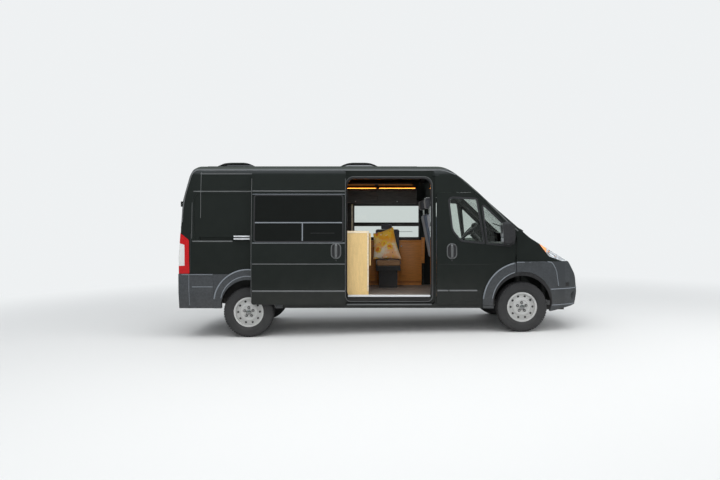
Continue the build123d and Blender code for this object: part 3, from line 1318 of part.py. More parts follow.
# Kitchen unit behind the doorway, with a drop leaf at its front end
KITCHEN_X0 = -1500
KITCHEN_X1 = -208
KITCHEN_Y0 = -900
KITCHEN_Y1 = -360
KITCHEN_TOP_Z = 1528
WORKTOP_THICK = 30
TOE_HEIGHT = 70
TOE_DEPTH = 60
LEAF_THICK = 22
LEAF_GAP = 14
LEAF_Y0 = -800
LEAF_Y1 = -400
LEAF_LOW_Z = 1010
LEAF_TOP_Z = 1493
CLEAT_Y0 = -720
CLEAT_Y1 = -680
CLEAT_LOW_Z = 1438
WORKTOP = [
    (KITCHEN_X0, KITCHEN_Y0, 0),
    (KITCHEN_X1 + 6, KITCHEN_Y0, 0),
    (KITCHEN_X1 + 6, KITCHEN_Y1 + 20, 30),
    (KITCHEN_X0, KITCHEN_Y1 + 20, 0),
]
leaf_x = KITCHEN_X1 + LEAF_GAP
with BuildPart() as kitchen_cabinet:
    add(block((KITCHEN_X0, KITCHEN_Y0, FLOOR_Z), (KITCHEN_X1, KITCHEN_Y1, KITCHEN_TOP_Z - WORKTOP_THICK)))
    add(block((KITCHEN_X0, KITCHEN_Y1 - TOE_DEPTH, FLOOR_Z), (KITCHEN_X1, KITCHEN_Y1, FLOOR_Z + TOE_HEIGHT)),
        mode=Mode.SUBTRACT)
    add(upward(WORKTOP, KITCHEN_TOP_Z - WORKTOP_THICK, KITCHEN_TOP_Z))
    add(block((KITCHEN_X1, CLEAT_Y0, CLEAT_LOW_Z), (leaf_x, CLEAT_Y1, LEAF_TOP_Z)))
    add(block((leaf_x, LEAF_Y0, LEAF_LOW_Z), (leaf_x + LEAF_THICK, LEAF_Y1, LEAF_TOP_Z)))
pieces["kitchen_cabinet"] = kitchen_cabinet

# Cupboard along the left wall under the window
WALL_UNIT_X0 = -450
WALL_UNIT_X1 = 748
WALL_UNIT_Y = 800
WALL_UNIT_TOP_Z = 1352
WALL_UNIT_TOE = 50
pillar_lane = block((DOORWAY_FRONT_X, 0, BELOW), (NOSE_X, OUT, ABOVE))
toe_top_z = FLOOR_Z + TOE_HEIGHT
with BuildPart() as wall_cabinet:
    add(block((WALL_UNIT_X0, WALL_UNIT_Y, toe_top_z), (WALL_UNIT_X1, OUT, WALL_UNIT_TOP_Z)))
    add(block((WALL_UNIT_X0, WALL_UNIT_Y + WALL_UNIT_TOE, FLOOR_Z), (WALL_UNIT_X1, OUT, toe_top_z)))
    add(common(skin(0, 2 * WALL), pillar_lane), mode=Mode.SUBTRACT)
    add(hull(WALL), mode=Mode.INTERSECT)
pieces["wall_cabinet"] = wall_cabinet

# Overhead lockers along the left wall, hollow behind their flaps
LOCKER_X0 = -1500
LOCKER_X1 = 640
LOCKER_SPLITS = (-790, -35)
LOCKER_Y = 560
LOCKER_LOW_Z = 1985
LOCKER_TOP_Z = 2245
LOCKER_BOARD = 15
LOCKER = [
    (LOCKER_Y + 40, LOCKER_LOW_Z, 10),
    (LOCKER_Y, LOCKER_TOP_Z, 10),
    (OUT, LOCKER_TOP_Z, 0),
    (OUT, LOCKER_LOW_Z, 0),
]
locker_bays = (LOCKER_X0, *LOCKER_SPLITS, LOCKER_X1)
with BuildPart() as overhead_lockers:
    add(along(LOCKER, LOCKER_X0, LOCKER_X1))
    for bay_start, bay_end in zip(locker_bays, locker_bays[1:]):
        add(along(LOCKER, bay_start + LOCKER_BOARD, bay_end - LOCKER_BOARD, -LOCKER_BOARD), mode=Mode.SUBTRACT)
    add(hull(WALL), mode=Mode.INTERSECT)
pieces["overhead_lockers"] = overhead_lockers

# Bed across the rear, on side boxes, with its mattress
BED_X0 = -2880
BED_X1 = -1520
BED_Z = 1060
BED_BOARD = 30
BED_HALF = 940
BED_BOX_Y = 700
MATTRESS_THICK = 130
MATTRESS_INSET = 15
MATTRESS_ROUND = 80
with BuildPart() as bed_platform:
    add(block((BED_X0, -BED_HALF, BED_Z - BED_BOARD), (BED_X1, BED_HALF, BED_Z)))
    for y in (-BED_BOX_Y, BED_BOX_Y):
        add(block((BED_X0, y - BED_BOARD / 2, FLOOR_Z), (BED_X1, y + BED_BOARD / 2, BED_Z)))
pieces["bed_platform"] = bed_platform

mattress_length = BED_X1 - BED_X0 - 2 * MATTRESS_INSET
mattress_width = 2 * (BED_HALF - MATTRESS_INSET)
with BuildPart() as mattress:
    with BuildSketch(Plane.XY.offset(BED_Z + TIGHT)):
        with Locations(((BED_X0 + BED_X1) / 2, 0)):
            RectangleRounded(mattress_length, mattress_width, MATTRESS_ROUND)
    extrude(amount=MATTRESS_THICK - TIGHT)
pieces["mattress"] = mattress

# Two roof fans under low smoked covers
FAN_XS = (-2300, -350)
FAN_LENGTH = 590
FAN_WIDTH = 420
FAN_BASE = 22
FAN_RISE = 74


def dome(plane, span, depth):
    """A low arch over a span, drawn on a plane and carried through a depth."""
    with BuildPart(mode=Mode.PRIVATE) as arch:
        with BuildSketch(plane.offset(-depth / 2)):
            with BuildLine():
                ThreePointArc((-span / 2, FAN_BASE), (0, FAN_BASE + FAN_RISE), (span / 2, FAN_BASE))
                Polyline((span / 2, FAN_BASE), (span / 2, 0), (-span / 2, 0), (-span / 2, FAN_BASE))
            make_face()
        extrude(amount=depth)
    return arch.part


FAN_CROWN_SPAN = 670
fan_cover = common(dome(Plane.XZ, FAN_LENGTH, FAN_WIDTH), dome(Plane.YZ, FAN_CROWN_SPAN, FAN_LENGTH))
with BuildPart() as roof_fans:
    for x in FAN_XS:
        add(fan_cover.moved(Location((x, 0, ROOF_Z))))
pieces["roof_fans"] = roof_fans

# Tip every piece nose-down and write it
tip_axis = Axis((0, 0, RAKE_PIVOT_Z), (0, 1, 0))
os.makedirs("parts", exist_ok=True)
for name, piece in pieces.items():
    tipped = piece.part.rotate(tip_axis, RAKE)
    tipped.label = name
    export_step(tipped, f"parts/{name}.step")
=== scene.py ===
import math

import bmesh
import bpy
from bpy.props import FloatProperty, FloatVectorProperty, IntProperty, PointerProperty
from mathutils import Matrix, Vector
from mathutils.bvhtree import BVHTree


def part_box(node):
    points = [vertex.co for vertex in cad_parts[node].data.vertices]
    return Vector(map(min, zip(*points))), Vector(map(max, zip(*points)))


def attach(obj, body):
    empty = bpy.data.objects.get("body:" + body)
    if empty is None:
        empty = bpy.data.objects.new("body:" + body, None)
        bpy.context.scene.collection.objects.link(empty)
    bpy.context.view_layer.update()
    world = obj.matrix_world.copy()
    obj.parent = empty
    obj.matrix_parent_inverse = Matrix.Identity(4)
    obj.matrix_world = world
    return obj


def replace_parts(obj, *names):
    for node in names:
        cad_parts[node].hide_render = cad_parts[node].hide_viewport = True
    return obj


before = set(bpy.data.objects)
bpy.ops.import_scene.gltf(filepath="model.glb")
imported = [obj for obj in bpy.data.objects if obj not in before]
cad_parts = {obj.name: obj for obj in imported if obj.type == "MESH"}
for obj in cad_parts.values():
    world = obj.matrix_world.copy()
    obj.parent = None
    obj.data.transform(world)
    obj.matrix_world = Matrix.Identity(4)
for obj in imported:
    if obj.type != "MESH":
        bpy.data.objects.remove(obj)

bl_info = {
    "name": "Camper Van",
    "version": (1, 0, 0),
    "blender": (4, 5, 0),
    "location": "View3D > Sidebar > Camper Van",
    "description": "Finishes, trim, tyres, lamps and soft goods of a camper van",
    "category": "Object",
}

# Everything is drawn on the level van, in metres: x forward, y to the left, z up. TIP then leans
# it nose-down on its springs, as the frame has it. The right side is the one with the sliding door.
RAKE = math.radians(1.1)
RAKE_PIVOT = Vector((0, 0, 0.6))
TIP = Matrix.Translation(RAKE_PIVOT) @ Matrix.Rotation(RAKE, 4, "Y") @ Matrix.Translation(-RAKE_PIVOT)
RIGHT, LEFT = -1, 1
SIDES = ((RIGHT, "right"), (LEFT, "left"))
# Heights of the lines that run through the doors and the side panels
MOULDING_LINE, WAIST_LINE, UPPER_LINE = 0.655, 1.05, 2.114
# The sliding door's ends when it is closed, and how far it has slid back
SLIDER_REAR, SLIDER_FRONT = -0.6, 0.752
SLIDER_SHIFT = Vector((-1.307, 0, 0))

FINISHES = {}
# Edges sharper than this are rounded on boards and doors
SHARP = math.radians(35)
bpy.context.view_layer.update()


# Meshes

def rounded(corners, steps=6):
    """The closed outline through (a, b, radius) corners, each turned into an arc."""
    outline = []
    for i, (a, b, radius) in enumerate(corners):
        here = Vector((a, b))
        back = Vector(corners[i - 1][:2]) - here
        ahead = Vector(corners[(i + 1) % len(corners)][:2]) - here
        if radius <= 0:
            outline.append(here)
            continue
        half = back.angle(ahead) / 2
        cut = min(radius / math.tan(half), 0.48 * back.length, 0.48 * ahead.length)
        middle = (back.normalized() + ahead.normalized()).normalized() * cut / math.cos(half)
        start = back.normalized() * cut - middle
        end = ahead.normalized() * cut - middle
        first, sweep = math.atan2(start.y, start.x), math.atan2(start.cross(end), start.dot(end))
        for step in range(steps + 1):
            turn = first + sweep * step / steps
            outline.append(here + middle + Vector((math.cos(turn), math.sin(turn))) * start.length)
    return outline


def edged(rear, front, low, high, radius, steps=6, upper_radius=None):
    """The closed outline between four edges, its corners rounded."""
    upper = radius if upper_radius is None else upper_radius
    return rounded([(rear, low, radius), (front, low, radius), (front, high, upper), (rear, high, upper)],
                   steps)


def oblong(a, b, width, height, radius, steps=6):
    """A rounded rectangle about (a, b)."""
    w, h = width / 2, height / 2
    return edged(a - w, a + w, b - h, b + h, radius, steps)


def dense(outline, step):
    """A closed outline with more points on its long stretches."""
    points = []
    for i, here in enumerate(outline):
        last = outline[i - 1]
        pieces = max(1, math.ceil((here - last).length / step))
        points += [last.lerp(here, k / pieces) for k in range(pieces)]
    return points


def between(start, end, count):
    """Evenly spaced values from start to end."""
    return [start + (end - start) * i / (count - 1) for i in range(count)]


def arc(centre, radius, start, end, count):
    """Points of an arc between two angles in degrees."""
    return [(centre[0] + radius * math.cos(a), centre[1] + radius * math.sin(a))
            for a in between(math.radians(start), math.radians(end), count)]


def bead(width, proud):
    """A low rounded section, sunk a little into what carries it."""
    half, sunk = width / 2, 0.004
    return [(-half, -sunk), (-half, proud * 0.4), (-half * 0.55, proud), (half * 0.55, proud),
            (half, proud * 0.4), (half, -sunk)]


def from_side(a, b, c):
    """A point drawn on the van's side, c being its y."""
    return Vector((a, c, b))


def from_top(a, b, c):
    """A point drawn on the van's plan, c being its z."""
    return Vector((a, b, c))


def slab(outline, low, high, place, rounding):
    """An outline carried from low to high, all its sharp edges rounded."""
    bm = bmesh.new()
    lower, upper = ([bm.verts.new(place(*point, depth)) for point in outline] for depth in (low, high))
    bm.faces.new(lower)
    bm.faces.new(upper[::-1])
    for i in range(len(outline)):
        bm.faces.new((lower[i - 1], lower[i], upper[i], upper[i - 1]))
    bmesh.ops.recalc_face_normals(bm, faces=bm.faces)
    sharp = [e for e in bm.edges if e.calc_face_angle() > SHARP]
    bmesh.ops.bevel(bm, geom=sharp, offset=rounding, segments=2, profile=0.5, affect="EDGES",
                    clamp_overlap=True)
    return bm


def board(low, high, rounding=0.002):
    """A block between two corners, its edges rounded."""
    outline = [(low[0], low[1]), (high[0], low[1]), (high[0], high[1]), (low[0], high[1])]
    return slab(outline, low[2], high[2], from_top, rounding)


def merge(*parts):
    """One mesh of several."""
    whole = bmesh.new()
    for part in parts:
        mesh = bpy.data.meshes.new("part")
        part.to_mesh(mesh)
        part.free()
        whole.from_mesh(mesh)
        bpy.data.meshes.remove(mesh)
    return whole


def loft(rings, closed=False, caps=True):
    """A skin over rings of as many points each, the last ring joined to the first if closed."""
    bm = bmesh.new()
    rows = [[bm.verts.new(p) for p in ring] for ring in rings]
    pairs = list(zip(rows, rows[1:])) + ([(rows[-1], rows[0])] if closed else [])
    for low, high in pairs:
        for i in range(len(low)):
            bm.faces.new((low[i - 1], low[i], high[i], high[i - 1]))
    if caps and not closed:
        bm.faces.new(rows[0])
        bm.faces.new(rows[-1][::-1])
    return bm


def headings(points, closed):
    """The direction of a line at each of its points."""
    for i, point in enumerate(points):
        before = points[i - 1] if i or closed else point
        after = points[(i + 1) % len(points)] if i + 1 < len(points) or closed else point
        yield (after - before).normalized()


def tube(points, radius, sides=10, closed=False):
    """A round bar along the points. The radius may be one number or one for each point."""
    points = [Vector(p) for p in points]
    radii = radius if isinstance(radius, list) else [radius] * len(points)
    turns = [2 * math.pi * k / sides for k in range(sides)]
    rings = []
    across = None
    for point, size, ahead in zip(points, radii, headings(points, closed)):
        if across is None:
            across = ahead.orthogonal().normalized()
        across = (across - ahead * across.dot(ahead)).normalized()
        up = ahead.cross(across)
        rings.append([point + size * (across * math.cos(t) + up * math.sin(t)) for t in turns])
    return loft(rings, closed)


def turned(rows, centre, axis, steps=48, bm=None):
    """Rows of (radius, distance along the axis) turned about it; the first and last close on it."""
    axis = Vector(axis).normalized()
    across = axis.orthogonal().normalized()
    up = axis.cross(across)
    bm = bm or bmesh.new()
    columns = []
    for step in range(steps):
        spoke = across * math.cos(2 * math.pi * step / steps) + up * math.sin(2 * math.pi * step / steps)
        columns.append([bm.verts.new(Vector(centre) + spoke * radius + axis * distance)
                        for radius, distance in rows])
    for i in range(steps):
        for j in range(len(rows) - 1):
            bm.faces.new((columns[i - 1][j], columns[i][j], columns[i][j + 1], columns[i - 1][j + 1]))
    for j in (0, len(rows) - 1):
        bm.faces.new([column[j] for column in columns])
    return bm


def strip(hits, section, closed=False):
    """A section of (across, out) points carried along points on a surface, each with its normal."""
    rings = []
    for (point, normal), ahead in zip(hits, headings([point for point, _ in hits], closed)):
        across = normal.cross(ahead).normalized()
        rings.append([point + across * a + normal * b for a, b in section])
    return loft(rings, closed)


def on_side(skin, side, points, section, closed=False):
    """A section carried along (x, z) points of the van's side."""
    return strip([skin.side(x, z, side) for x, z in points], section, closed)


def level_line(skin, side, start, end, z, section, count):
    """A section carried along the van's side at one height."""
    return on_side(skin, side, [(x, z) for x in between(start, end, count)], section)


def upright_line(skin, side, x, low, high, section, count):
    """A section carried up the van's side."""
    return on_side(skin, side, [(x, z) for z in between(low, high, count)], section)


def plate(hits, proud, inset):
    """A thin plate lying on the surface inside a ring of hits."""
    middle = sum((point for point, _ in hits), Vector()) / len(hits)
    return loft([[point - normal * 0.002 for point, normal in hits],
                 [point + normal * proud * 0.7 for point, normal in hits],
                 [point.lerp(middle, inset) + normal * proud for point, normal in hits]])


class Skin:
    """The outer surface of some frame nodes, on the level van."""

    # How far apart the starts of a cast lie, and how much nearer a later hit has to be to count
    SPREAD, NEARER = 0.007, 0.004

    def __init__(self, *nodes):
        whole = bmesh.new()
        for node in nodes:
            whole.from_mesh(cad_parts[node].data)
        whole.transform(TIP.inverted())
        self.tree = BVHTree.FromBMesh(whole)
        whole.free()

    def cast(self, origin, direction):
        """The first point met from any of five near starts, with its normal."""
        direction = Vector(direction).normalized()
        across = direction.orthogonal().normalized() * self.SPREAD
        up = direction.cross(across)
        best = None
        for step in (Vector(), across, -across, up, -up):
            point, normal, _, distance = self.tree.ray_cast(Vector(origin) + step, direction)
            if point and (best is None or distance < best[2] - self.NEARER):
                best = (point - step, normal if normal.dot(direction) < 0 else -normal, distance)
        if best is None:
            raise RuntimeError(f"nothing lies at {tuple(origin)}")
        return best[:2]

    def side(self, x, z, side):
        """The point of the van's side at x, z, with its normal."""
        return self.cast((x, side * 2, z), (0, -side, 0))

    def front(self, y, z):
        return self.cast((4, y, z), (-1, 0, 0))

    def rear(self, y, z):
        return self.cast((-4, y, z), (1, 0, 0))

    def top(self, x, y):
        return self.cast((x, y, 4), (0, 0, -1))


def add_piece(name, bm, body, finish, angle=40):
    """Makes a level mesh into a piece of the van that rides on a body."""
    bmesh.ops.remove_doubles(bm, verts=bm.verts, dist=1e-6)
    bmesh.ops.recalc_face_normals(bm, faces=bm.faces)
    bm.transform(TIP)
    for face in bm.faces:
        face.smooth = True
    for edge in bm.edges:
        edge.smooth = edge.is_manifold and edge.calc_face_angle() < math.radians(angle)
    mesh = bpy.data.meshes.new(name)
    bm.to_mesh(mesh)
    bm.free()
    mesh.materials.append(FINISHES[finish])
    piece = bpy.data.objects.new(name, mesh)
    bpy.context.scene.collection.objects.link(piece)
    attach(piece, body)
    return piece


# Shader node groups

def set_socket(socket, value):
    """Sets a socket's value, a colour being given as three numbers."""
    socket.default_value = (*value, 1.0) if socket.type == "RGBA" else value


def add_node(tree, kind, sockets=(), **settings):
    """A node with its settings, and its sockets set to values or linked from other sockets."""
    node = tree.nodes.new(kind)
    for name, value in settings.items():
        setattr(node, name, value)
    for name, value in dict(sockets).items():
        if isinstance(value, bpy.types.NodeSocket):
            tree.links.new(value, node.inputs[name])
        else:
            set_socket(node.inputs[name], value)
    return node


def calc(tree, operation, a, b=0.0, c=0.0):
    """The result of one sum on sockets or numbers."""
    return add_node(tree, "ShaderNodeMath", {0: a, 1: b, 2: c}, operation=operation).outputs[0]


def spread(tree, value, low, high, to_low=0.0, to_high=1.0):
    """A value mapped smoothly from one range to another, and held at its ends."""
    return add_node(tree, "ShaderNodeMapRange", {0: value, 1: low, 2: high, 3: to_low, 4: to_high},
                    interpolation_type="SMOOTHSTEP").outputs[0]


def blend_colours(tree, factor, a, b):
    return add_node(tree, "ShaderNodeMix", {0: factor, 6: a, 7: b}, data_type="RGBA").outputs[2]


def noise(tree, where, scale, detail=3.0, roughness=0.55):
    return add_node(tree, "ShaderNodeTexNoise", {"Vector": where, "Scale": scale, "Detail": detail,
                                                 "Roughness": roughness}).outputs[0]


def new_group(name, inputs, outputs):
    """A node group with named float inputs and outputs: its tree, its input and its output node."""
    tree = bpy.data.node_groups.new(name, "ShaderNodeTree")
    for label, default in inputs:
        socket = tree.interface.new_socket(label, in_out="INPUT", socket_type="NodeSocketFloat")
        socket.default_value = default
    for label in outputs:
        tree.interface.new_socket(label, in_out="OUTPUT", socket_type="NodeSocketFloat")
    return tree, tree.nodes.new("NodeGroupInput"), tree.nodes.new("NodeGroupOutput")


def rest_place(tree):
    """Where a point of the piece is at rest."""
    return tree.nodes.new("ShaderNodeTexCoord").outputs["Object"]


def make_grain_group():
    """Moulded grain: a soft unevenness and a fine height."""
    tree, given, result = new_group("Moulded Grain", [("Scale", 300.0)], ["Value", "Height"])
    where = rest_place(tree)
    cells = add_node(tree, "ShaderNodeTexVoronoi", {"Vector": where, "Scale": given.outputs["Scale"]})
    tree.links.new(noise(tree, where, 6.0), result.inputs["Value"])
    tree.links.new(cells.outputs["Distance"], result.inputs["Height"])


def make_dust_group():
    """Road film: thick near the ground and in patches, thinning out towards a height."""
    tree, given, result = new_group("Road Film", [("Top", 1.1), ("Amount", 0.5)], ["Mask"])
    where = rest_place(tree)
    height = add_node(tree, "ShaderNodeSeparateXYZ", {0: where}).outputs[2]
    fade = spread(tree, height, given.outputs["Top"], 0.15)
    patches = spread(tree, noise(tree, where, 3.0, 6.0, 0.65), 0.3, 0.75, 0.35, 1.0)
    mask = calc(tree, "MULTIPLY", fade, patches)
    tree.links.new(calc(tree, "MULTIPLY", mask, given.outputs["Amount"]), result.inputs["Mask"])


def make_weave_group():
    """Woven cloth: threads over and under, with slubs."""
    tree, given, result = new_group("Weave", [("Threads", 900.0)], ["Mask", "Height"])
    where = rest_place(tree)
    cells = add_node(tree, "ShaderNodeTexVoronoi", {"Vector": where, "Scale": given.outputs["Threads"]},
                     distance="CHEBYCHEV", feature="F1")
    upright = add_node(tree, "ShaderNodeMapping", {"Vector": where, "Scale": (1.0, 1.0, 9.0)}).outputs[0]
    slubs = noise(tree, upright, 60.0)
    tree.links.new(spread(tree, slubs, 0.3, 0.7), result.inputs["Mask"])
    tree.links.new(calc(tree, "SUBTRACT", 1.0, cells.outputs["Distance"]), result.inputs["Height"])


def make_wood_group():
    """Wood figure: long fibres along one direction, and wide darker bands."""
    tree, given, result = new_group("Wood Figure", [("Along X", 1.0), ("Along Y", 1.0), ("Along Z", 1.0),
                                                    ("Scale", 10.0)], ["Bands", "Fibres"])
    along = add_node(tree, "ShaderNodeCombineXYZ", {i: given.outputs[i] for i in range(3)})
    where = add_node(tree, "ShaderNodeVectorMath", {0: rest_place(tree), 1: along.outputs[0]},
                     operation="MULTIPLY").outputs[0]
    bands = noise(tree, where, given.outputs["Scale"], 4.0)
    fibres = noise(tree, where, calc(tree, "MULTIPLY", given.outputs["Scale"], 9.0), 3.0)
    tree.links.new(spread(tree, bands, 0.3, 0.7), result.inputs["Bands"])
    tree.links.new(fibres, result.inputs["Fibres"])


def make_wear_group():
    """Worn edges: bright where the surface turns outward, broken up by noise."""
    tree, given, result = new_group("Edge Wear", [("Amount", 0.5)], ["Mask"])
    edge = spread(tree, add_node(tree, "ShaderNodeNewGeometry").outputs["Pointiness"], 0.52, 0.62)
    broken = spread(tree, noise(tree, rest_place(tree), 35.0, 5.0), 0.35, 0.65)
    mask = calc(tree, "MULTIPLY", calc(tree, "MULTIPLY", edge, broken), given.outputs["Amount"])
    tree.links.new(mask, result.inputs["Mask"])


def effect(tree, group, **values):
    """One of the node groups placed in a material with its own values."""
    node = tree.nodes.new("ShaderNodeGroup")
    node.node_tree = bpy.data.node_groups[group]
    for name, value in values.items():
        node.inputs[name.replace("_", " ")].default_value = value
    return node.outputs


# Materials

def new_finish(name, roughness=0.5, **sockets):
    """A material with a Principled shader: its tree and the shader."""
    material = bpy.data.materials.new(name)
    material.use_nodes = True
    tree = material.node_tree
    shader = tree.nodes["Principled BSDF"]
    shader.inputs["Roughness"].default_value = roughness
    for label, value in sockets.items():
        set_socket(shader.inputs[label.replace("_", " ")], value)
    FINISHES[name] = material
    return tree, shader


def link(tree, output, shader, socket):
    tree.links.new(output, shader.inputs[socket])


def bump(tree, shader, height, distance, strength=1.0):
    node = add_node(tree, "ShaderNodeBump", {"Height": height, "Strength": strength, "Distance": distance})
    link(tree, node.outputs[0], shader, "Normal")


def shade(colour, factor, lift=0.0):
    """A colour made darker or lighter."""
    return [min(1.0, c * factor + lift) for c in colour]


DUST = (0.16, 0.145, 0.12)


def make_paint(name, colour, dust=0.08, index=1.45):
    """Gloss paint: clear coat, faint orange peel, road film low down."""
    tree, shader = new_finish(name, 0.32, Coat_Weight=1.0, Coat_Roughness=0.03, Coat_IOR=index,
                              Specular_IOR_Level=0.15)
    film = effect(tree, "Road Film", Top=1.25, Amount=dust)["Mask"]
    grain = effect(tree, "Moulded Grain", Scale=260.0)
    tint = blend_colours(tree, grain["Value"], colour, shade(colour, 1.35))
    link(tree, blend_colours(tree, film, tint, DUST), shader, "Base Color")
    link(tree, spread(tree, film, 0.0, 0.3, 0.28, 0.5), shader, "Roughness")
    link(tree, spread(tree, film, 0.0, 0.35, 1.0, 0.7), shader, "Coat Weight")
    bump(tree, shader, noise(tree, rest_place(tree), 140.0, 2.0), 0.0002, 0.25)


def make_plastic(name, colour, roughness=0.55, dust=0.35, scale=420.0):
    """Grained plastic with a little wear and road film."""
    tree, shader = new_finish(name, roughness)
    film = effect(tree, "Road Film", Top=0.95, Amount=dust)["Mask"]
    grain = effect(tree, "Moulded Grain", Scale=scale)
    wear = effect(tree, "Edge Wear", Amount=0.25)["Mask"]
    tint = blend_colours(tree, grain["Value"], shade(colour, 0.93), shade(colour, 1.07))
    tint = blend_colours(tree, wear, tint, shade(colour, 1.8, 0.02))
    link(tree, blend_colours(tree, film, tint, DUST), shader, "Base Color")
    rough = spread(tree, grain["Value"], 0.2, 0.8, roughness - 0.08, roughness + 0.1)
    link(tree, rough, shader, "Roughness")
    bump(tree, shader, grain["Height"], 0.0002, 0.2)


def make_glass(name, colour, roughness=0.0, index=1.4, coat=0.0, clear=1.0):
    """Glass with a plain transmission and a thin film of dust that only changes its roughness."""
    tree, shader = new_finish(name, roughness, Transmission_Weight=clear, IOR=index, Base_Color=colour,
                              Coat_Weight=coat, Coat_Roughness=0.02)
    film = effect(tree, "Road Film", Top=2.2, Amount=0.03)["Mask"]
    link(tree, spread(tree, film, 0.0, 0.3, roughness, roughness + 0.04), shader, "Roughness")
    link(tree, blend_colours(tree, film, colour, shade(colour, 0.9)), shader, "Base Color")


def make_metal(name, colour, roughness=0.35, metallic=1.0, dust=0.3, wear=0.3):
    """Metal, cast or painted, with wear on its edges and film low down."""
    tree, shader = new_finish(name, roughness, Metallic=metallic)
    film = effect(tree, "Road Film", Top=0.9, Amount=dust)["Mask"]
    grain = effect(tree, "Moulded Grain", Scale=200.0)
    edge = effect(tree, "Edge Wear", Amount=wear)["Mask"]
    tint = blend_colours(tree, grain["Value"], shade(colour, 0.85), shade(colour, 1.1))
    tint = blend_colours(tree, edge, tint, shade(colour, 1.6, 0.05))
    link(tree, blend_colours(tree, film, tint, DUST), shader, "Base Color")
    rough = spread(tree, grain["Value"], 0.2, 0.8, roughness - 0.06, roughness + 0.12)
    link(tree, rough, shader, "Roughness")
    bump(tree, shader, grain["Height"], 0.0003, 0.2)


def make_rubber(name, colour):
    """Tyre rubber: dull, dusty on the tread and lower sidewall."""
    tree, shader = new_finish(name, 0.75)
    film = effect(tree, "Road Film", Top=1.0, Amount=0.4)["Mask"]
    grain = effect(tree, "Moulded Grain", Scale=500.0)
    tint = blend_colours(tree, grain["Value"], colour, shade(colour, 1.7))
    link(tree, blend_colours(tree, film, tint, (0.085, 0.083, 0.08)), shader, "Base Color")
    link(tree, spread(tree, grain["Value"], 0.2, 0.8, 0.62, 0.88), shader, "Roughness")
    bump(tree, shader, grain["Height"], 0.0004, 0.3)


def make_cloth(name, colour, light, threads=900.0):
    """Woven cloth of two threads, with a soft sheen."""
    tree, shader = new_finish(name, 0.88, Sheen_Weight=0.35, Sheen_Roughness=0.5)
    weave = effect(tree, "Weave", Threads=threads)
    tint = blend_colours(tree, weave["Mask"], colour, light)
    tint = blend_colours(tree, calc(tree, "MULTIPLY", weave["Height"], 0.3), tint, shade(colour, 0.6))
    link(tree, tint, shader, "Base Color")
    bump(tree, shader, weave["Height"], 0.0006, 0.6)


def make_wood(name, dark, light, along):
    """Lacquered wood with fibres along one direction."""
    tree, shader = new_finish(name, 0.38, Coat_Weight=0.25, Coat_Roughness=0.25)
    figure = effect(tree, "Wood Figure", Along_X=along[0], Along_Y=along[1], Along_Z=along[2], Scale=9.0)
    tint = blend_colours(tree, figure["Bands"], dark, light)
    fine = spread(tree, figure["Fibres"], 0.35, 0.7, 0.0, 0.35)
    link(tree, blend_colours(tree, fine, tint, shade(dark, 0.6)), shader, "Base Color")
    link(tree, spread(tree, figure["Fibres"], 0.3, 0.7, 0.32, 0.5), shader, "Roughness")
    bump(tree, shader, figure["Fibres"], 0.0003, 0.25)


def make_print(name):
    """Printed cushion cloth: loose golden blooms with crimson hearts on a pale and amber ground."""
    tree, shader = new_finish(name, 0.85, Sheen_Weight=0.3)
    where = rest_place(tree)
    weave = effect(tree, "Weave", Threads=1100.0)
    ground = spread(tree, noise(tree, where, 6.0, 3.0), 0.4, 0.6)
    high = blend_colours(tree, ground, (1.0, 0.42, 0.015), (1.0, 0.6, 0.08))
    low = blend_colours(tree, ground, (0.95, 0.5, 0.22), (0.92, 0.8, 0.62))
    level = add_node(tree, "ShaderNodeSeparateXYZ", {0: where}).outputs[2]
    ragged = calc(tree, "ADD", level, calc(tree, "MULTIPLY", noise(tree, where, 9.0), 0.3))
    tint = blend_colours(tree, spread(tree, ragged, 1.56, 1.34), high, low)
    wobble = add_node(tree, "ShaderNodeTexNoise", {"Vector": where, "Scale": 14.0, "Detail": 2.0})
    bent = add_node(tree, "ShaderNodeVectorMath", {0: wobble.outputs["Color"], 1: (0.09, 0.09, 0.09)},
                    operation="MULTIPLY").outputs[0]
    bent = add_node(tree, "ShaderNodeVectorMath", {0: where, 1: bent}, operation="ADD").outputs[0]
    # Each layer of the print, as (cells per metre, from the cell's middle out to, softness, colour)
    for scale, reach, edge, colour in ((7.0, 0.48, 0.05, (1.0, 0.62, 0.05)),
                                       (7.0, 0.30, 0.05, (0.9, 0.2, 0.03)),
                                       (11.0, 0.27, 0.05, (0.95, 0.85, 0.66)),
                                       (17.0, 0.22, 0.04, (0.3, 0.05, 0.12))):
        cells = add_node(tree, "ShaderNodeTexVoronoi", {"Vector": bent, "Scale": scale, "Randomness": 1.0})
        petals = noise(tree, bent, scale * 4.0, 2.0)
        distance = calc(tree, "ADD", cells.outputs["Distance"], calc(tree, "MULTIPLY", petals, 0.25))
        mask = spread(tree, distance, reach + edge, reach, 0.0, 0.9)
        tint = blend_colours(tree, mask, tint, colour)
    link(tree, tint, shader, "Base Color")
    bump(tree, shader, weave["Height"], 0.0005, 0.5)


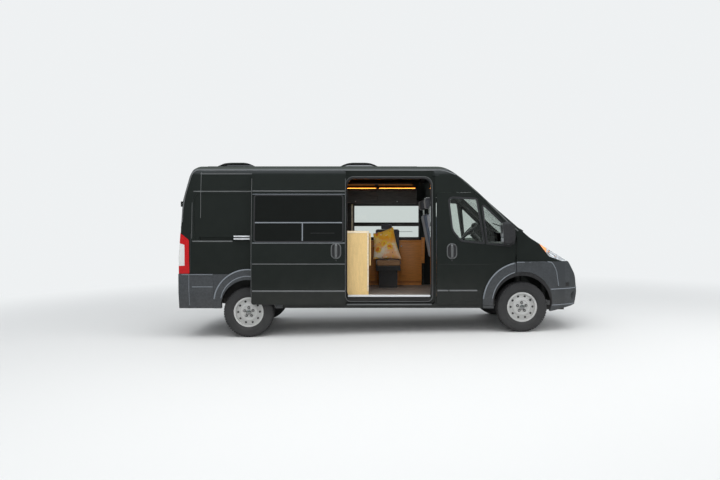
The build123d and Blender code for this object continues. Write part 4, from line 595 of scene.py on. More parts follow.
def make_floor_board(name):
    """The van's floor: worn grey-brown boards on top, dark sealed steel below and outside."""
    tree, shader = new_finish(name, 0.5)
    where = rest_place(tree)
    figure = effect(tree, "Wood Figure", Along_X=1.0, Along_Y=14.0, Along_Z=14.0, Scale=3.0)
    boards = blend_colours(tree, figure["Bands"], (0.2, 0.165, 0.145), (0.34, 0.29, 0.255))
    along = add_node(tree, "ShaderNodeSeparateXYZ", {0: where})
    seam = calc(tree, "PINGPONG", along.outputs[1], 0.06)
    boards = blend_colours(tree, spread(tree, seam, 0.0, 0.0025, 0.75, 0.0), boards, (0.03, 0.025, 0.02))
    facing = add_node(tree, "ShaderNodeSeparateXYZ",
                      {0: add_node(tree, "ShaderNodeNewGeometry").outputs["Normal"]}).outputs[2]
    top = calc(tree, "MULTIPLY", spread(tree, facing, 0.6, 0.9), spread(tree, along.outputs[2], 0.45, 0.5))
    film = effect(tree, "Road Film", Top=0.9, Amount=0.5)["Mask"]
    below = blend_colours(tree, film, (0.018, 0.018, 0.019), DUST)
    link(tree, blend_colours(tree, top, below, boards), shader, "Base Color")
    link(tree, spread(tree, figure["Fibres"], 0.3, 0.7, 0.38, 0.6), shader, "Roughness")
    bump(tree, shader, figure["Fibres"], 0.0004, 0.3)


def make_red_lens(name, colour):
    """Tail lamp: red, with a pale reversing lamp inboard of its lower half and moulded prisms."""
    tree, shader = new_finish(name, 0.12, Coat_Weight=1.0, Coat_Roughness=0.02, Specular_IOR_Level=0.6)
    where = rest_place(tree)
    at = add_node(tree, "ShaderNodeSeparateXYZ", {0: where})
    rear = spread(tree, at.outputs[0], -2.896, -2.902)
    low = spread(tree, at.outputs[2], 1.075, 1.08)
    slant = calc(tree, "ADD", at.outputs[2], calc(tree, "MULTIPLY", at.outputs[0], 0.35))
    high = spread(tree, slant, 0.365, 0.37, 1.0, 0.0)
    pale = calc(tree, "MULTIPLY", calc(tree, "MULTIPLY", rear, low), high)
    rows = add_node(tree, "ShaderNodeTexWave", {"Vector": where, "Scale": 30.0}, bands_direction="Z")
    red = blend_colours(tree, rows.outputs["Color"], colour, shade(colour, 0.6))
    clear = blend_colours(tree, rows.outputs["Color"], (0.72, 0.72, 0.7), (0.5, 0.5, 0.5))
    link(tree, blend_colours(tree, pale, red, clear), shader, "Base Color")
    link(tree, spread(tree, effect(tree, "Road Film", Top=1.7, Amount=0.4)["Mask"], 0.0, 0.4, 0.1, 0.4),
         shader, "Roughness")
    bump(tree, shader, rows.outputs["Fac"], 0.0008, 0.35)


def make_glow(name, colour, strength):
    """A warm light behind a diffuser."""
    tree, shader = new_finish(name, 0.5, Emission_Strength=strength)
    tint = blend_colours(tree, noise(tree, rest_place(tree), 12.0), colour, shade(colour, 0.75))
    link(tree, tint, shader, "Base Color")
    link(tree, tint, shader, "Emission Color")


# What a user would change

def colour_property(name, description, default):
    return FloatVectorProperty(name=name, description=description, default=default, subtype="COLOR",
                               min=0.0, max=1.0)


def length_property(name, description, default):
    return FloatProperty(name=name, description=description, default=default, unit="LENGTH")


class VanColours(bpy.types.PropertyGroup):
    paint: colour_property("Paint", "Body paint", (0.0085, 0.0105, 0.0098))
    plastic: colour_property("Plastic", "Unpainted bumpers and flares", (0.040, 0.044, 0.049))
    dark_plastic: colour_property("Dark plastic", "Mirrors, grille, seals and cab trim", (0.02, 0.02, 0.022))
    wheel: colour_property("Wheel", "Steel wheels", (0.64, 0.64, 0.63))
    rubber: colour_property("Rubber", "Tyres", (0.017, 0.017, 0.018))
    glass: colour_property("Glass", "Tint of the windows", (0.7, 0.75, 0.72))
    lamp_red: colour_property("Lamp red", "Tail lamps", (0.55, 0.004, 0.008))
    seat: colour_property("Seat", "Cab seat cloth", (0.10, 0.125, 0.17))
    bench: colour_property("Bench", "Bench cloth", (0.05, 0.052, 0.06))
    birch: colour_property("Birch", "Kitchen and bed boards", (0.8, 0.56, 0.24))
    wood: colour_property("Wood", "Wall cabinet", (0.66, 0.25, 0.05))
    board: colour_property("Board", "Overhead lockers", (0.05, 0.045, 0.042))
    amber: colour_property("Amber", "Indicators and locker lights", (0.95, 0.3, 0.04))


class VanSizes(bpy.types.PropertyGroup):
    tread: length_property("Tread depth", "Depth of the tyres' grooves", 0.009)
    handle_width: length_property("Handle width", "Width of a side door handle", 0.135)
    handle_height: length_property("Handle height", "Height of a side door handle", 0.215)
    moulding: length_property("Moulding", "Height of the side door mouldings", 0.022)
    blocks: IntProperty(name="Tread blocks", description="Tread blocks round a tyre", default=58)


class VanStage(bpy.types.PropertyGroup):
    camera: FloatVectorProperty(name="Camera", description="Where the camera stands", subtype="TRANSLATION",
                                unit="LENGTH", default=(-0.32, -10.3, 1.625))
    pitch: FloatProperty(name="Pitch", description="How far the camera looks down", unit="ROTATION",
                         default=math.radians(1.36))
    roll: FloatProperty(name="Roll", description="How far the camera is turned about its view",
                        unit="ROTATION", default=math.radians(-1.1))
    lens: FloatProperty(name="Lens", description="Focal length on a 36 mm sensor", unit="CAMERA",
                        default=31.65)
    daylight: FloatProperty(name="Daylight", description="Strength of the pale surroundings", default=0.62)


def colours():
    return bpy.context.scene.van_colours


def sizes():
    return bpy.context.scene.van_sizes


# Pieces, one operator for each group

class StageOperator(bpy.types.Operator):
    """Sets the camera, the pale floor and the soft light"""
    bl_idname = "van.stage"
    bl_label = "Stage"

    BACKDROP = (0.86, 0.88, 0.89)
    HORIZON = (0.13, 0.15, 0.135)

    def execute(self, context):
        stage = context.scene.van_stage
        camera = bpy.data.objects.new("camera", bpy.data.cameras.new("camera"))
        context.scene.collection.objects.link(camera)
        camera.data.lens = stage.lens
        camera.data.sensor_width = 36.0
        camera.data.sensor_fit = "HORIZONTAL"
        camera.data.clip_end = 200.0
        camera.matrix_world = (Matrix.Translation(Vector(stage.camera))
                               @ Matrix.Rotation(math.pi / 2 - stage.pitch, 4, "X")
                               @ Matrix.Rotation(stage.roll, 4, "Z"))
        context.scene.camera = camera
        context.scene.view_settings.view_transform = "Standard"
        self.make_floor(context)
        self.make_world(context, stage.daylight)
        # Lamps, as (name, place, width, depth, power)
        for name, spot, width, depth, power in (("overhead", (-0.5, -3.0, 7.5), 12.0, 7.0, 480.0),
                                                ("near_side", (-1.5, -9.0, 4.5), 8.0, 4.0, 210.0),
                                                ("far_side", (1.0, 9.0, 4.5), 8.0, 4.0, 210.0),
                                                ("ahead", (8.5, -4.0, 4.5), 5.0, 3.0, 190.0)):
            lamp = bpy.data.objects.new(name, bpy.data.lights.new(name, "AREA"))
            lamp.data.shape = "RECTANGLE"
            lamp.data.size = width
            lamp.data.size_y = depth
            lamp.data.energy = power
            lamp.location = spot
            lamp.visible_glossy = False
            lamp.rotation_mode = "QUATERNION"
            lamp.rotation_quaternion = (Vector((0, 0, 1.0)) - Vector(spot)).to_track_quat("-Z", "Y")
            context.scene.collection.objects.link(lamp)
        return {"FINISHED"}

    def make_floor(self, context):
        """A wide disc that fades into the backdrop away from the van."""
        bm = bmesh.new()
        bmesh.ops.create_circle(bm, cap_ends=True, radius=60.0, segments=96)
        mesh = bpy.data.meshes.new("floor")
        bm.to_mesh(mesh)
        bm.free()
        floor = bpy.data.objects.new("studio_floor", mesh)
        context.scene.collection.objects.link(floor)
        tree, shader = new_finish("studio_floor", 0.85)
        seen = tree.nodes.new("ShaderNodeLightPath").outputs["Is Glossy Ray"]
        link(tree, blend_colours(tree, seen, (0.74, 0.74, 0.73), (0.3, 0.3, 0.29)), shader, "Base Color")
        point = tree.nodes.new("ShaderNodeNewGeometry").outputs["Position"]
        away = add_node(tree, "ShaderNodeVectorMath", {0: point}, operation="LENGTH").outputs["Value"]
        haze = add_node(tree, "ShaderNodeEmission",
                        {"Color": blend_colours(tree, seen, self.BACKDROP, self.HORIZON)})
        mix = add_node(tree, "ShaderNodeMixShader", {0: spread(tree, away, 4.0, 11.0), 1: shader.outputs[0],
                                                     2: haze.outputs[0]})
        tree.links.new(mix.outputs[0], tree.nodes["Material Output"].inputs["Surface"])
        mesh.materials.append(FINISHES["studio_floor"])

    def make_world(self, context, daylight):
        """Plain to the eye, soft as light, and dark at the horizon in reflections."""
        world = bpy.data.worlds.new("surroundings")
        world.use_nodes = True
        tree = world.node_tree
        context.scene.world = world
        tree.nodes.clear()
        rays = tree.nodes.new("ShaderNodeLightPath").outputs
        straight = calc(tree, "MAXIMUM", rays["Is Camera Ray"], rays["Is Transmission Ray"])
        up = add_node(tree, "ShaderNodeSeparateXYZ",
                      {0: tree.nodes.new("ShaderNodeTexCoord").outputs["Generated"]}).outputs[2]
        sky = blend_colours(tree, spread(tree, up, 0.38, 0.95), self.HORIZON, (0.82, 0.88, 0.95))
        soft = add_node(tree, "ShaderNodeBackground", {"Color": (0.88, 0.92, 0.96), "Strength": daylight})
        reflected = add_node(tree, "ShaderNodeBackground", {"Color": sky})
        plain = add_node(tree, "ShaderNodeBackground", {"Color": self.BACKDROP})
        light = add_node(tree, "ShaderNodeMixShader", {0: rays["Is Glossy Ray"], 1: soft.outputs[0],
                                                       2: reflected.outputs[0]})
        mix = add_node(tree, "ShaderNodeMixShader", {0: straight, 1: light.outputs[0], 2: plain.outputs[0]})
        out = tree.nodes.new("ShaderNodeOutputWorld")
        tree.links.new(mix.outputs[0], out.inputs["Surface"])


class FinishOperator(bpy.types.Operator):
    """Makes every finish and puts them on the frame's nodes"""
    bl_idname = "van.finishes"
    bl_label = "Finishes"

    def execute(self, context):
        tones = colours()
        for make in (make_grain_group, make_dust_group, make_weave_group, make_wood_group, make_wear_group):
            make()
        make_paint("black_paint", tones.paint)
        # Black paint made ten times lighter: a painted highlight along the creases, mouldings, handles and
        # roof edges
        make_paint("highlight_paint", (0.085, 0.088, 0.09), 0.03, 2.0)
        make_paint("dark_glass", (0.0035, 0.004, 0.004), 0.04, 1.5)
        make_plastic("grey_plastic", tones.plastic, 0.5, 0.18)
        # Grey plastic made four and a half times lighter: a painted highlight along the flares' and bumpers'
        # edges and the window bars
        make_plastic("highlight_plastic", shade(tones.plastic, 4.5), 0.42, 0.1)
        make_plastic("black_plastic", tones.dark_plastic, 0.5, 0.2)
        make_plastic("lining", (0.36, 0.19, 0.075), 0.6, 0.0)
        make_glass("tinted_glass", tones.glass)
        make_glass("clear_lens", (0.80, 0.82, 0.84), index=1.06, coat=0.8, clear=0.84)
        make_glass("smoked_cover", (0.1, 0.105, 0.11), 0.08)
        make_red_lens("red_lens", tones.lamp_red)
        make_metal("wheel_silver", tones.wheel, 0.38, 0.3, 0.22, 0.15)
        make_metal("chassis_steel", (0.035, 0.035, 0.038), 0.5, 0.3, 0.45, 0.3)
        make_metal("cast_metal", (0.11, 0.11, 0.11), 0.55, 0.8, 0.4)
        make_metal("engine_metal", (0.3, 0.3, 0.31), 0.45, 0.8, 0.25)
        make_metal("bright_metal", (0.62, 0.63, 0.64), 0.25, 1.0, 0.1)
        # The mirror's glass: partly metal, partly a pale grey colour that is a painted reflection of the sky
        make_metal("mirror", (0.55, 0.58, 0.6), 0.12, 0.35, 0.0, 0.0)
        make_metal("lamp_silver", (0.74, 0.76, 0.78), 0.35, 0.3, 0.0, 0.0)
        make_rubber("tyre", tones.rubber)
        make_cloth("seat_fabric", tones.seat, shade(tones.seat, 1.8))
        make_cloth("bench_fabric", tones.bench, shade(tones.bench, 1.8))
        make_cloth("bench_top", (0.2, 0.105, 0.05), (0.32, 0.18, 0.09))
        make_cloth("mattress_fabric", (0.4, 0.385, 0.35), (0.52, 0.5, 0.46), 700.0)
        make_print("pillow_fabric")
        make_wood("pale_birch", shade(tones.birch, 0.88), tones.birch, (6.0, 6.0, 0.6))
        make_wood("pale_edge", (0.72, 0.6, 0.42), (0.86, 0.74, 0.55), (0.6, 6.0, 6.0))
        make_wood("warm_wood", shade(tones.wood, 0.75), tones.wood, (0.7, 8.0, 8.0))
        make_wood("charcoal_board", shade(tones.board, 0.8), shade(tones.board, 1.4), (1.0, 6.0, 6.0))
        make_floor_board("floor_board")
        make_glow("amber_glow", tones.amber, 1.35)
        make_glow("strip_light", tones.amber, 9.0)
        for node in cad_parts.values():
            for material_slot in node.material_slots:
                material_slot.material = FINISHES[material_slot.material.name.split(".")[0]]
        return {"FINISHED"}


class TyreOperator(bpy.types.Operator):
    """Makes the four treaded tyres and the wheels' nuts, caps and valves"""
    bl_idname = "van.tyres"
    bl_label = "Tyres and wheels"

    # The tyre's outer half, as (radius, distance from the middle, 1 for a shoulder block's top)
    SHOULDER = [(0.2035, 0.080, 0), (0.222, 0.0885, 0), (0.228, 0.1, 0), (0.238, 0.1065, 0),
                (0.262, 0.1105, 0), (0.264, 0.1125, 0), (0.272, 0.1125, 0), (0.274, 0.111, 0),
                (0.3, 0.1105, 0), (0.322, 0.1095, 0), (0.324, 0.1115, 0), (0.330, 0.1105, 0),
                (0.332, 0.1065, 0), (0.345, 0.1045, 0), (0.356, 0.1, 1), (0.3635, 0.093, 1),
                (0.3665, 0.085, 1), (0.3685, 0.070, 1)]
    # The tread's ribs from the shoulder to the middle, as (outer edge, inner edge)
    RIBS = [(0.070, 0.048), (0.040, 0.012)]
    CROWN = 0.370
    # Circles about the hub, as (radius, how many, angle of the first)
    NUTS, VENTS, VALVE = (0.065, 5, 90), (0.16, 10, 0), (0.182, 1, 38)

    # Turned sections, as (radius, distance outwards)
    CAP = [(0.0, 0.078), (0.036, 0.078), (0.036, 0.096), (0.033, 0.1), (0.024, 0.103), (0.0, 0.104)]
    NUT = [(0.0, 0.072), (0.0115, 0.072), (0.0105, 0.092), (0.007, 0.096), (0.0, 0.096)]
    # Black discs: painted shade round each nut in its pocket and inside each vent hole
    NUT_SHADE = [(0.0, 0.066), (0.021, 0.066), (0.021, 0.0705), (0.019, 0.0712), (0.0, 0.0712)]
    VENT = [(0.0, 0.040), (0.0165, 0.040), (0.0165, 0.0530), (0.0155, 0.0536), (0.0, 0.0536)]

    def rows(self, depth):
        """The whole section from bead to bead, as (radius, offset, kind), 2 being the top of a rib."""
        groove = self.CROWN - depth
        half = list(self.SHOULDER)
        for outer, inner in self.RIBS:
            half += [(groove, outer + 0.001, 0), (self.CROWN - outer * 0.02, outer - 0.001, 2),
                     (self.CROWN - inner * 0.02, inner + 0.001, 2), (groove, inner - 0.001, 0)]
        # The first rib starts at the shoulder, with no groove before it
        del half[len(self.SHOULDER)]
        return half + [(radius, -offset, kind) for radius, offset, kind in reversed(half)]

    def make_tyre(self, name, centre, side, body, node):
        blocks, depth = sizes().blocks, sizes().tread
        rows = self.rows(depth)
        pitch = 2 * math.pi / blocks
        gap, slope = 0.24 * pitch, 0.002
        bm = bmesh.new()
        columns = []
        for number in range(blocks):
            for turn, sunk in ((0.0, True), (gap, True), (gap + slope, False), (pitch - slope, False)):
                column = []
                for radius, offset, kind in rows:
                    lag = 0.5 * pitch if kind == 2 and abs(offset) < 0.045 else 0.0
                    reach = radius - (depth if sunk and kind else 0.0)
                    angle = number * pitch + turn + lag
                    x, z = centre[0] + reach * math.cos(angle), centre[2] + reach * math.sin(angle)
                    column.append(bm.verts.new((x, centre[1] + side * offset, z)))
                columns.append(column)
        for i in range(len(columns)):
            for j in range(len(rows)):
                bm.faces.new((columns[i - 1][j - 1], columns[i][j - 1], columns[i][j], columns[i - 1][j]))
        bm.transform(TIP.inverted())
        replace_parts(add_piece(name, bm, body, "tyre", 35), node)

    def round_hub(self, centre, radius, count, first):
        """Places spread evenly on a circle about the hub."""
        turns = [math.radians(first + 360 * k / count) for k in range(count)]
        return [centre + Vector((math.cos(turn) * radius, 0, math.sin(turn) * radius)) for turn in turns]

    def make_hub(self, name, centre, side, body):
        """Wheel nuts in their pockets, the cap over the hub, the vents and the valve; each pocket and the
        dark floor of each vent is a black disc, painted shade.
        """
        out = Vector((0, side, 0))
        cap = turned(self.CAP, centre, out, 40)
        nuts, dark = bmesh.new(), bmesh.new()
        for spot in self.round_hub(centre, *self.NUTS):
            turned(self.NUT, spot, out, 6, nuts)
            turned(self.NUT_SHADE, spot, out, 24, dark)
        for spot in self.round_hub(centre, *self.VENTS):
            turned(self.VENT, spot, out, 20, dark)
        foot = self.round_hub(centre, *self.VALVE)[0] + out * 0.05
        valve = tube([foot, foot + out * 0.022, foot + out * 0.036], [0.0045, 0.0035, 0.0035], 10)
        for part, bm, finish in (("_nuts", merge(cap, nuts), "bright_metal"),
                                 ("_recesses", dark, "black_plastic"), ("_valve", valve, "black_plastic")):
            bm.transform(TIP.inverted())
            add_piece(name + part, bm, body, finish)

    def execute(self, context):
        for end in ("front", "rear"):
            for side, name in SIDES:
                label = f"{end}_{name}"
                low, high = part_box("tyre_" + label)
                centre = (low + high) / 2
                self.make_tyre("tyre_tread_" + label, centre, side, "wheel_" + label, "tyre_" + label)
                self.make_hub("hub_" + label, centre, side, "wheel_" + label)
        return {"FINISHED"}


class BodyTrimOperator(bpy.types.Operator):
    """Makes the mouldings and pressed lines along the body's sides, and the trim of the doorway"""
    bl_idname = "van.body_trim"
    bl_label = "Body trim"

    # The raised field below the front door's moulding, as (x, z, radius)
    FIELD = [(0.985, 0.638, 0.01), (1.395, 0.638, 0.01), (1.36, 0.492, 0.04), (1.03, 0.492, 0.04)]
    DOOR_SEAL = [(-0.010, 0.0), (-0.010, 0.008), (-0.004, 0.016), (0.006, 0.016), (0.012, 0.008),
                 (0.012, 0.0)]

    def trim_door(self, side, label, moulding):
        """The front door's moulding in its two lengths, lighter than the paint as a painted highlight, the
        raised field below it and its waist line.
        """
        body = "front_door_" + label
        door = Skin(body)
        parts = [level_line(door, side, 0.80, 0.962, MOULDING_LINE, moulding, 6),
                 level_line(door, side, 0.978, 1.385, MOULDING_LINE, moulding, 10)]
        add_piece("door_moulding_" + label, merge(*parts), body, "highlight_paint")
        field = on_side(door, side, dense(rounded(self.FIELD), 0.05), bead(0.01, 0.003), True)
        add_piece("door_field_" + label, field, body, "black_paint")
        waist = level_line(door, side, 0.80, 1.62, WAIST_LINE, bead(0.03, 0.003), 14)
        add_piece("door_crease_" + label, waist, body, "black_paint")

    def trim_panel(self, side, label, moulding, crease):
        """The load space's pressed lines, its rear lower line and the seams of the corner panel, all lighter
        than the paint as a painted highlight.
        """
        panel = Skin("side_panel_" + label)
        lines = [level_line(panel, side, -2.79, -1.925, UPPER_LINE, crease, 14),
                 level_line(panel, side, -2.8, -2.21, 1.378, bead(0.018, 0.007), 10),
                 upright_line(panel, side, -2.685, 1.72, 2.40, bead(0.008, 0.003), 20),
                 upright_line(panel, side, -2.81, 1.42, 1.95, bead(0.007, 0.002), 14)]
        if side == LEFT:
            lines += [level_line(panel, side, -1.90, 0.77, UPPER_LINE, crease, 26),
                      level_line(panel, side, -1.45, 0.70, MOULDING_LINE, moulding, 20)]
        add_piece("pressed_lines_" + label, merge(*lines), "van_body", "highlight_paint")

    def trim_slider(self, moulding, crease):
        """The sliding door's lines and edges, lighter than the paint as a painted highlight, and the bars of
        the carriage that it runs on.
        """
        slider = Skin("sliding_door")
        levels = ((MOULDING_LINE, moulding), (UPPER_LINE, crease), (WAIST_LINE, bead(0.012, 0.003)),
                  (1.352, bead(0.010, 0.004)))
        rear, front = SLIDER_REAR + SLIDER_SHIFT.x, SLIDER_FRONT + SLIDER_SHIFT.x
        lines = [level_line(slider, RIGHT, rear, front, z, section, 20) for z, section in levels]
        lines += [upright_line(slider, RIGHT, x, 0.56, 2.30, bead(0.008, 0.004), 40)
                  for x in (rear - 0.014, front + 0.006)]
        add_piece("slider_mouldings", merge(*lines), "van_body", "highlight_paint")
        bars = [board((-2.182, -1.056, z), (-1.95, -1.044, z + 0.021), 0.003) for z in (1.404, 1.442)]
        add_piece("carriage_bars", merge(*bars), "van_body", "lamp_silver")

    def make_doorway(self):
        """The rubber seal round the doorway, its flange with lines lighter than the paint as a painted
        highlight, its header, its step and the bright floor edge.
        """
        panel = Skin("side_panel_right")
        opening = dense(edged(-0.535, 0.72, 0.553, 2.315, 0.075, 8, 0.115), 0.08)
        seal = on_side(panel, RIGHT, opening, self.DOOR_SEAL, True)
        add_piece("doorway_seal", seal, "van_body", "black_plastic")
        outer = dense(edged(-0.548, 0.737, 0.486, 2.336, 0.08, 8, 0.12), 0.06)
        lines = [on_side(panel, RIGHT, outer, bead(0.013, 0.006), True),
                 level_line(panel, RIGHT, -0.53, 0.72, 0.447, bead(0.02, 0.005), 16)]
        add_piece("doorway_flange", merge(*lines), "van_body", "highlight_paint")
        # The roof's drip channel is closed above the doorway
        over = Skin("side_panel_right", "roof")
        low, high = ([over.side(x, z, RIGHT)[0] for x in between(-0.64, 0.83, 30)] for z in (2.350, 2.434))
        rows = [low, [a.lerp(b, 0.5) for a, b in zip(low, high)], high]
        front = [[p + Vector((0, -0.004, 0)) for p in row] for row in rows]
        back = [[p + Vector((0, 0.006, 0)) for p in row] for row in rows[::-1]]
        add_piece("doorway_header", loft(list(zip(*front, *back))), "van_body", "black_paint")
        well = dense(oblong(0.094, 0.519, 1.225, 0.046, 0.012, 4), 0.05)
        step = plate([panel.side(*p, RIGHT) for p in well], 0.002, 0.01)
        add_piece("doorway_step", step, "van_body", "black_plastic")
        edge = board((-0.515, -1.0, 0.5605), (0.70, -0.955, 0.588), 0.004)
        lip = board((-0.515, -0.957, 0.5605), (0.70, -0.86, 0.566))
        add_piece("floor_edge", merge(edge, lip), "van_body", "lamp_silver")

    def execute(self, context):
        moulding, crease = bead(sizes().moulding, 0.008), bead(0.015, 0.005)
        for side, label in SIDES:
            self.trim_door(side, label, moulding)
            self.trim_panel(side, label, moulding, crease)
        self.trim_slider(moulding, crease)
        self.make_doorway()
        return {"FINISHED"}


class HandleOperator(bpy.types.Operator):
    """Makes the door handles with their oval bezels, dished plates and upright grips"""
    bl_idname = "van.handles"
    bl_label = "Door handles"

    BEZEL = [(-0.008, -0.003), (-0.009, 0.006), (-0.004, 0.012), (0.004, 0.012), (0.009, 0.006),
             (0.008, -0.003)]
    # The dished plate's rings, as (share of the bezel, height)
    DISH = [(0.98, 0.004), (0.86, 0.0035), (0.8, 0.0015), (0.5, 0.0008)]
    LOCK = [(0.0, 0.0), (0.012, 0.0), (0.012, 0.004), (0.010, 0.0055), (0.0, 0.0055)]

    def on_surface(self, point, normal, level):
        """A placing function for shapes drawn flat on a surface."""
        out = normal.normalized()
        along = level.normalized()
        along = (along - out * along.dot(out)).normalized()
        up = out.cross(along)
        if up.z < 0:
            up = -up
        return lambda a, b, c: point + along * a + up * b + out * c

    def make_handle(self, name, hit, level, body, width, height):
        point, normal = hit
        at = self.on_surface(point, normal, level)
        ring = dense(oblong(0, 0, width, height, width * 0.48, 8), 0.02)
        # The bezel and the grip are lighter than the body's paint: a painted highlight
        bezel = strip([(at(p.x, p.y, 0), normal) for p in ring], self.BEZEL, True)
        add_piece(name + "_bezel", bezel, body, "highlight_paint")
        dish = loft([[at(p.x * share, p.y * share, rise) for p in ring] for share, rise in self.DISH])
        add_piece(name + "_dish", dish, body, "black_plastic")
        half, sides = height * 0.47, 12
        rings = []
        for t in between(-1, 1, 15):
            across = width * (0.12 + 0.035 * math.cos(t * math.pi / 2))
            rise = 0.004 + 0.026 * math.sqrt(max(0.0, 1 - t ** 4))
            rings.append([at(across * math.cos(a), t * half, rise + 0.009 * math.sin(a))
                          for a in (2 * math.pi * k / sides for k in range(sides))])
        add_piece(name + "_grip", loft(rings), body, "highlight_paint")
        lock = turned(self.LOCK, at(0, -height / 2 - 0.03, 0), normal, 24)
        add_piece(name + "_lock", lock, body, "black_plastic")

    def execute(self, context):
        size = sizes().handle_width, sizes().handle_height
        ahead = Vector((1, 0, 0))
        for side, label in SIDES:
            body = "front_door_" + label
            hit = Skin(body).side(1.015, 1.233, side)
            self.make_handle("door_handle_" + label, hit, ahead, body, *size)
        hit = Skin("sliding_door").side(-0.685, 1.24, RIGHT)
        self.make_handle("slider_handle", hit, ahead, "van_body", *size)
        hit = Skin("rear_door_right").rear(-0.085, 1.13)
        self.make_handle("rear_handle", hit, Vector((0, 1, 0)), "rear_door_right", 0.11, 0.2)
        return {"FINISHED"}


class GlazingOperator(bpy.types.Operator):
    """Makes the rubber seals round the glass and the bars between the panes"""
    bl_idname = "van.glazing"
    bl_label = "Glazing"

    SEAL = [(-0.012, -0.006), (-0.012, 0.003), (-0.006, 0.006), (0.005, 0.0045), (0.010, 0.0),
            (0.010, -0.006)]
    # A thin grey line by the seal: a painted highlight on the pane's edge
    PANE_HIGHLIGHT = [(0.010, -0.003), (0.010, 0.003), (0.0145, 0.003), (0.0145, -0.003)]
    BAR = [(-0.008, -0.004), (-0.008, 0.006), (-0.005, 0.008), (0.005, 0.008), (0.008, 0.006),
           (0.008, -0.004)]
    PULL = [(-0.003, -0.002), (-0.003, 0.004), (0.003, 0.004), (0.003, -0.002)]
    # The front door's two panes, as (x, z, radius)
    REAR_PANE = [(0.967, 2.03, 0.06), (1.022, 1.54, 0.2), (1.15, 1.382, 0.11), (1.495, 1.347, 0.015),
                 (1.387, 2.006, 0.03)]
    FRONT_PANE = [(1.462, 1.936, 0.02), (1.53, 1.343, 0.015), (1.885, 1.312, 0.025), (1.885, 1.535, 0.025)]

    def glaze_door(self, side, label):
        """A seal round each pane of the front door, and a thin grey line inside it, a painted highlight on
        the pane's edge.
        """
        body = "front_door_" + label
        skin = Skin(body, "front_door_glass_" + label)
        panes = [dense(pane, 0.04) for pane in (rounded(self.REAR_PANE, 8), rounded(self.FRONT_PANE, 6))]
        for name, section, finish in (("door_seals_", self.SEAL, "black_plastic"),
                                      ("door_pane_edges_", self.PANE_HIGHLIGHT, "grey_plastic")):
            rings = [on_side(skin, side, pane, section, True) for pane in panes]
            add_piece(name + label, merge(*rings), body, finish)

    def glaze_window(self, name, skin, side, shift):
        """A long side window's bars, its post, the lines over and under it, its seal and its pull; the bars,
        the post and the lines are lighter than the seal, a painted highlight.
        """
        outline = edged(-0.57 + shift, 0.72 + shift, 1.375, 2.05, 0.035, 5)
        bars = [level_line(skin, side, -0.56 + shift, 0.71 + shift, 1.652, self.BAR, 16),
                upright_line(skin, side, 0.131 + shift, 1.385, 1.645, self.BAR, 6)]
        bars += [level_line(skin, side, SLIDER_REAR + shift, SLIDER_FRONT + shift, z, bead(0.008, 0.004), 18)
                 for z in (2.068, 1.357)]
        add_piece(name + "_window_bars", merge(*bars), "van_body", "highlight_plastic")
        parts = [on_side(skin, side, dense(outline, 0.04), self.SEAL, True),
                 level_line(skin, side, 0.25 + shift, 0.60 + shift, 1.50, self.PULL, 6)]
        add_piece(name + "_window_frame", merge(*parts), "van_body", "black_plastic")
        return outline

    def execute(self, context):
        for side, label in SIDES:
            self.glaze_door(side, label)
        skin = Skin("sliding_door", "side_windows")
        outline = self.glaze_window("slider", skin, RIGHT, SLIDER_SHIFT.x)
        rim = [skin.side(p.x, p.y, RIGHT) for p in dense(outline, 0.05)]
        film = loft([[point + normal * depth for point, normal in rim] for depth in (0.0002, 0.0016)])
        add_piece("slider_privacy_glass", film, "van_body", "dark_glass")
        self.glaze_window("far", Skin("side_panel_left", "side_windows"), LEFT, 0.0)
        return {"FINISHED"}


